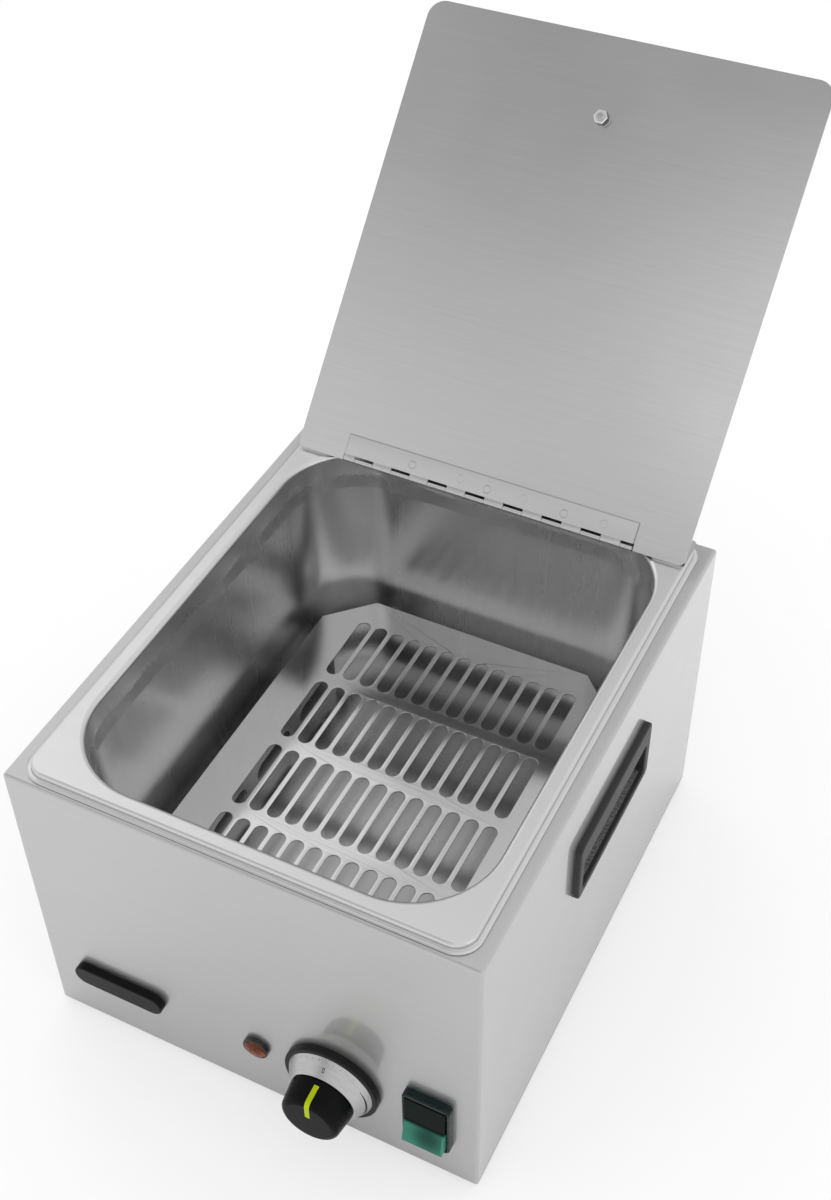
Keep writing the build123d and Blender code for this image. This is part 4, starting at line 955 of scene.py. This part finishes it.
class BuildHandles(Operator):
    """Recessed carrying handles"""

    bl_idname = "warmer.handles"
    bl_label = "Handles"

    def execute(self, context):
        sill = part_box("handle_right")[0].z + 4.5 * MM
        finish = black_with_lit_sill(sill)
        carrying_handle("handle_right", 1.0, sill, finish)
        carrying_handle("handle_left", -1.0, sill, finish)
        return {"FINISHED"}


class BuildBadge(Operator):
    """Bare badge plate with a raised rim"""

    bl_idname = "warmer.badge"
    bl_label = "Badge"

    def execute(self, context):
        middle, half = spread("badge_plate")
        thick = 2 * half.y
        sunk = thick - 0.35 * MM
        edge = softened(
            [(0.0, 0.0, 0), (0.0, thick, 0.8 * MM), (-1.3 * MM, thick, 0.15 * MM),
             (-1.6 * MM, sunk, 0.15 * MM), (-3.0 * MM, sunk, 0)],
            steps=4,
        )
        sections = [
            (half.x + out, half.z + out, (half.z + out) * 0.999, (middle.x, -middle.z, up))
            for out, up in edge
        ]
        bm = bmesh.new()
        loft(bm, sections, steps=16, cap_first=True, cap_last=True)
        turn_out_of_front(bm, middle.y + half.y)
        finish = moulded("black_badge", shade(colours().black, 0.5), 0.2, 900.0, 0.004 * MM, sheen=0.08)
        piece("badge_bare", bm, finish, "casing", ["badge_plate"], sharp=30.0)
        return {"FINISHED"}


def dial_silver():
    """Silver with turned strokes and plain marks, placed by angle from the top and radius."""
    finish = Finish("silver_scale", Metallic=1.0)
    x = finish.maths("SUBTRACT", finish.axis("X"), KNOB.x)
    z = finish.maths("SUBTRACT", finish.axis("Z"), KNOB.z)
    angle = finish.maths("ARCTAN2", x, z)
    radius = finish.distance((KNOB.x, 0.0, KNOB.z), (1.0, 0.0, 1.0))
    swept = {"X": finish.every(radius, 5200.0), "Y": finish.every(angle, 2.0)}
    vector = finish.add("CombineXYZ", "Vector", swept)
    strokes = finish.add("TexNoise", "Fac", {"Scale": 1.0, "Vector": vector})
    marks = [dial_wedge(finish, angle, radius), dial_nought(finish, angle, radius)]
    for degrees in (118.0, 123.0):
        marks.append(dial_tick(finish, angle, radius, degrees, 23.0, 24.8, 0.25))
    for degrees in range(-40, 50, 10):
        marks.append(dial_tick(finish, angle, radius, degrees, 25.1, 25.5, 0.2))
    silver = finish.mottled(strokes, grey(1.0), 0.42, 0.54)
    finish.tint(finish.mixed(finish.either(*marks), silver, grey(0.02)))
    finish.gloss(finish.ranged(strokes, 0.3, 0.7, 0.26, 0.36))
    finish.relief(strokes, 0.006 * MM)
    return finish


def dial_wedge(finish, angle, radius):
    """A curved wedge that grows from thin to thick between two angles."""
    start, end = radians(58.0), radians(112.0)
    half_width = finish.every(finish.ranged(angle, start, end, 0.1 * MM, 1.0 * MM), 0.5)
    inside = finish.maths("LESS_THAN", finish.off(radius, 24.4 * MM), half_width)
    after = finish.maths("GREATER_THAN", angle, start)
    before = finish.maths("LESS_THAN", angle, end)
    return finish.every(inside, after, before)


def dial_nought(finish, angle, radius):
    """A plain nought at the top of the scale."""
    half_x, half_z, place = 0.62 * MM, 0.6 * MM, 23.0 * MM
    sideways = finish.maths("DIVIDE", finish.every(angle, radius), half_x)
    upward = finish.maths("DIVIDE", finish.maths("SUBTRACT", radius, place), half_z)
    reach = finish.maths("MULTIPLY_ADD", upward, upward, finish.every(sideways, sideways))
    return finish.maths("LESS_THAN", finish.off(reach, 1.0), 0.5)


def dial_tick(finish, angle, radius, degrees, inner, outer, width):
    """A short radial line at an angle; its radii and width are in millimetres."""
    sideways = finish.every(finish.off(angle, radians(degrees)), radius)
    thin = finish.maths("LESS_THAN", sideways, width * MM / 2)
    low = finish.maths("GREATER_THAN", radius, inner * MM)
    high = finish.maths("LESS_THAN", radius, outer * MM)
    return finish.every(thin, low, high)


def pointer_black():
    """Black, with the pointer's bar over the upper half and its face."""
    finish = moulded("black_cap", shade(colours().black, 0.35), 0.24, 2200.0, 0.005 * MM, sheen=0.05)
    bar = finish.maths("LESS_THAN", finish.off(finish.axis("X"), KNOB.x), 1.5 * MM)
    above = finish.maths("GREATER_THAN", finish.axis("Z"), KNOB.z + 4.5 * MM)
    ahead = finish.maths("LESS_THAN", finish.axis("Y"), FRONT - 17.5 * MM)
    finish.overlay(finish.every(bar, above, ahead), tuple(colours().pointer))
    return finish


class BuildKnob(Operator):
    """Thermostat knob: ring, scale, cap and pointer"""

    bl_idname = "warmer.knob"
    bl_label = "Knob"

    def execute(self, context):
        bore, rim, ring_top, scale_top = 6.0, 29.25, 4.5, 14.0
        profile = softened_mm(
            [(bore, 0.0, 0), (rim, 0.0, 0), (rim, ring_top, 1.0), (bore, ring_top, 0), (bore, 0.0, 0)], 4
        )
        bm = turned(profile, KNOB, OUT, steps=96)
        finish = moulded("black_ring", shade(colours().black, 0.7), 0.35, sheen=0.12)
        piece("ring_of_knob", bm, finish, "casing", ["knob_ring"])
        skirt, hollow, brow, under = 26.3, 24.8, 20.5, scale_top - 1.5
        profile = softened_mm(
            [(hollow, ring_top, 0), (skirt, ring_top, 0), (brow, scale_top, 0.6), (bore, scale_top, 0),
             (bore, under, 0), (brow - 1.5, under, 0), (hollow, ring_top, 0)],
            steps=4,
        )
        bm = turned(profile, KNOB, OUT, steps=96)
        piece("scale_of_knob", bm, dial_silver(), "casing", ["knob_scale"])
        low, high, foot, crown = 14.4, 29.8, 19.5, 17.5
        profile = softened_mm([(0.0, low, 0), (foot, low, 0.4), (crown, high, 4.0), (0.0, high, 0)], 8)
        bm = turned(profile, KNOB, OUT, steps=96)
        carried = ["knob_cap", "knob_indicator"]
        piece("cap_of_knob", bm, pointer_black(), "knob", carried)
        return {"FINISHED"}


def amber_lens(z):
    """Dark amber, with painted glints in its cells that painted light brightens in the lower half."""
    finish = Finish("amber_lens", Metallic=0.0, Roughness=0.12, Specular_IOR_Level=0.15)
    inputs = {"Scale": 1.0, "Vector": finish.moved((620.0, 620.0, 620.0))}
    cell = finish.add("TexVoronoi", "Distance", inputs)
    # Painted highlights: bright amber glints in the cells, strongest in the lower half.
    painted_glints = finish.ranged(cell, 0.05, 0.45, 1.0, 0.1)
    lit_lower_half = finish.ranged(finish.axis("Z"), z - 2.0 * MM, z + 3.0 * MM, 1.0, 0.15)
    dark, bright = shade(colours().lens, 0.12), shade(colours().lens, 1.6)
    finish.tint(finish.mixed(finish.every(painted_glints, lit_lower_half), dark, bright))
    finish.relief(cell, 0.5 * MM)
    return finish


class BuildLamp(Operator):
    """Pilot lamp: bezel and faceted lens"""

    bl_idname = "warmer.lamp"
    bl_label = "Pilot lamp"

    def execute(self, context):
        middle = spread("lamp_lens")[0]
        centre = Vector((middle.x, FRONT, middle.z))
        neck, flange, mouth, tail, top, seat = 6.0, 8.0, 7.1, -26.0, 3.0, 1.2
        profile = softened_mm(
            [(0.0, tail, 0), (neck, tail, 0.5), (neck, 0.0, 0), (flange, 0.0, 0), (flange, top, 0.6),
             (mouth, top, 0.2), (mouth, seat, 0), (0.0, seat, 0)],
            steps=4,
        )
        bm = turned(profile, centre, OUT, steps=64)
        finish = moulded("black_bezel", colours().black, 0.3)
        piece("bezel_of_lamp", bm, finish, "casing", ["lamp_bezel"])
        rim, dome = 6.95 * MM, 2.2 * MM
        ball = (rim * rim + dome * dome) / (2 * dome)
        lens = [(0.0, 1.3 * MM), (rim, 1.3 * MM)]
        for step in range(9):
            reach = rim * (1 - step / 8)
            lens.append((reach, top * MM + dome - ball + sqrt(ball * ball - reach * reach)))
        bm = turned(lens, centre, OUT, steps=64)
        piece("lens_of_lamp", bm, amber_lens(centre.z), "casing", ["lamp_lens"])
        return {"FINISHED"}


def tinted_rocker(x):
    """Painted shade darkens the top; below, a green with painted highlights at its rims and bottom edge,
    and painted shade towards a point in its middle.
    """
    finish = Finish("tinted_rocker", Metallic=0.0, Roughness=0.14, Specular_IOR_Level=0.04)
    tone, z = colours().rocker, PIVOT.z
    height = finish.axis("Z")
    # Painted shade: above the pivot the rocker is near black, fading into the green just below it.
    light = finish.ranged(height, z - 3.0 * MM, z + 0.5 * MM, 1.0, 0.0, smooth=True)
    across = finish.off(finish.axis("X"), x)
    # Painted highlights lighten the green at its rims and bottom edge; painted shade darkens it towards a
    # point in its middle.
    rim_highlight = finish.ranged(across, 10.2 * MM, 12.0 * MM, smooth=True)
    bottom = finish.ranged(height, z - 18.6 * MM, z - 16.8 * MM, 1.0, 0.0, smooth=True)
    from_shade_centre = finish.distance((x + 3.0 * MM, 0.0, z - 7.0 * MM), (1.0, 0.0, 1.0))
    shade_falloff = finish.ranged(from_shade_centre, 2.0 * MM, 15.0 * MM, 0.0, 0.75, smooth=True)
    green = finish.mixed(finish.either(rim_highlight, bottom, shade_falloff), shade(tone, 0.3), shade(tone, 1.2))
    finish.tint(finish.mixed(light, shade(tone, 0.02), green))
    finish.relief(finish.noise(500.0), 0.01 * MM)
    return finish


def rocker_piece(x, reach):
    """Rocker pressed in at the top: its outline is (out of the panel, up the rocker)."""
    width, tilt = 12.2 * MM, radians(8.0)
    valley, tip, belly = 7.4 * MM, 9.0 * MM, 7.0 * MM
    half = (reach - tip * sin(tilt)) / cos(tilt)
    outline = [(valley, 0.0), (tip, half), (0.0, half), (-belly, 0.0), (0.0, -half), (tip, -half)]
    bm = bmesh.new()
    verts = []
    for out, up in outline:
        y = PIVOT.y - out * cos(tilt) + up * sin(tilt)
        verts.append(bm.verts.new((x - width, y, PIVOT.z + out * sin(tilt) + up * cos(tilt))))
    face = bm.faces.new(verts)
    pushed = bmesh.ops.extrude_face_region(bm, geom=[face])
    moved = [item for item in pushed["geom"] if isinstance(item, bmesh.types.BMVert)]
    bmesh.ops.translate(bm, vec=(2 * width, 0.0, 0.0), verts=moved)
    eased(bm, list(bm.edges), 0.45 * MM, 3)
    piece("rocker_tinted", bm, tinted_rocker(x), "rocker", ["switch_rocker"], 30.0)


class BuildSwitch(Operator):
    """Rocker switch: frame and tinted rocker"""

    bl_idname = "warmer.switch"
    bl_label = "Switch"

    def execute(self, context):
        middle, half = spread("switch_frame")
        x, z = middle.x, middle.z
        window_x, window_z, proud = 12.6 * MM, 19.8 * MM, 5.0 * MM
        body_x, body_z, depth = 13.2 * MM, 21.0 * MM, 21.0 * MM
        path = softened([(0.0, 0.0, 0), (0.0, proud, 1.0 * MM), (-1.2 * MM, proud, 0)], steps=5)
        sections = offset_sections(half.x, half.z, 4.0 * MM, path, (x, -z))
        path = softened_mm([(0.5, 5.0, 0), (0.0, 4.6, 0.2), (0.0, -12.0, 0)], steps=3)
        sections += offset_sections(window_x, window_z, 0.6 * MM, path, (x, -z))
        bm = bmesh.new()
        loops = loft(bm, sections, steps=6, cap_last=True)
        body = [(body_x, body_z, 0.5 * MM, (x, -z, height)) for height in (0.0, -depth)]
        outer = loft(bm, body, steps=6, cap_last=True)
        bmesh.ops.bridge_loops(bm, edges=loops[0] + outer[0])
        turn_out_of_front(bm, FRONT)
        finish = moulded("dark_switch_frame", (0.006, 0.015, 0.013), 0.25, 900.0, 0.004 * MM, 0.2)
        piece("frame_of_switch", bm, finish, "casing", ["switch_frame"], sharp=30.0)
        rocker_piece(x, window_z - 0.4 * MM)
        return {"FINISHED"}


class BuildRest(Operator):
    """Finishes of the feet, the rear and base panels and the works inside"""

    bl_idname = "warmer.rest"
    bl_label = "Rear, base and works"

    def execute(self, context):
        rubber = moulded("black_rubber", grey(0.018), 0.7, 1200.0, 0.05 * MM)
        seal = moulded("pale_seal", (0.6, 0.6, 0.58), 0.6, 900.0, 0.03 * MM)
        zinc = plain_metal("zinc_sheet", (0.55, 0.57, 0.58), 0.4)
        panel = brushed_steel("brushed_panel", (14.0, 14.0, 2000.0), colours().steel, 0.34)
        bright = plain_metal("bright_screws", grey(0.6), 0.28)
        black = moulded("black_fittings", colours().black, 0.4)
        works = moulded("cream_works", (0.55, 0.52, 0.44), 0.45)
        brass = plain_metal("brass_works", (0.62, 0.45, 0.18), 0.3)
        copper = plain_metal("copper_works", (0.62, 0.3, 0.18), 0.3)
        sheath = plain_metal("dark_sheath", (0.16, 0.15, 0.14), 0.45)
        aluminium = plain_metal("rolled_aluminium", (0.65, 0.66, 0.67), 0.35)
        dressed = {
            rubber: ["foot_front_left", "foot_front_right", "foot_rear_left", "foot_rear_right"],
            seal: ["flange_seal"],
            zinc: ["base_plate", "heater_clamp_front", "heater_clamp_rear", "bulb_clip"],
            panel: ["rear_panel"],
            bright: ["rear_screws", "base_screws", "thermostat_screws", "thermostat_shaft", "rocker_pin",
                     "heater_studs", "heater_nuts"],
            black: ["cable_gland", "gland_nut"],
            works: ["thermostat_body", "lamp_nut", "safety_cutout", "terminal_block"],
            brass: ["switch_terminals", "terminal_screws", "earth_stud", "earth_nut"],
            copper: ["thermostat_bulb", "capillary_tube"],
            sheath: ["heating_element"],
            aluminium: ["heat_spreader"],
        }
        for finish, names in dressed.items():
            for name in names:
                dress(name, finish)
        return {"FINISHED"}


STEPS = (
    BuildStage, BuildCasing, BuildTank, BuildGrate, BuildLid, BuildHinge, BuildLidFixing, BuildHandles,
    BuildBadge, BuildKnob, BuildLamp, BuildSwitch, BuildRest,
)


class WarmerPanel(Panel):
    """Lists the sizes, colours and building steps"""

    bl_idname = "VIEW3D_PT_warmer"
    bl_label = "Sausage warmer"
    bl_space_type = "VIEW_3D"
    bl_region_type = "UI"
    bl_category = "Warmer"

    def draw(self, context):
        for group in (sizes(), colours(), context.scene.warmer_stage):
            box = self.layout.box()
            for name in group.__annotations__:
                box.prop(group, name)
        for step in STEPS:
            self.layout.operator(step.bl_idname)


GROUPS = {"warmer_sizes": WarmerSizes, "warmer_colours": WarmerColours, "warmer_stage": WarmerStage}
CLASSES = (*GROUPS.values(), *STEPS, WarmerPanel)


def register():
    for cls in CLASSES:
        bpy.utils.register_class(cls)
    for name, group in GROUPS.items():
        setattr(bpy.types.Scene, name, PointerProperty(type=group))


def unregister():
    for name in GROUPS:
        delattr(bpy.types.Scene, name)
    for cls in reversed(CLASSES):
        bpy.utils.unregister_class(cls)


def main():
    register()
    bpy.ops.warmer.stage()
    bpy.ops.warmer.casing()
    bpy.ops.warmer.tank()
    bpy.ops.warmer.grate()
    bpy.ops.warmer.lid()
    bpy.ops.warmer.hinge()
    bpy.ops.warmer.lid_fixing()
    bpy.ops.warmer.handles()
    bpy.ops.warmer.badge()
    bpy.ops.warmer.knob()
    bpy.ops.warmer.lamp()
    bpy.ops.warmer.switch()
    bpy.ops.warmer.rest()
    bpy.context.view_layer.update()


if __name__ == "__main__":
    main()
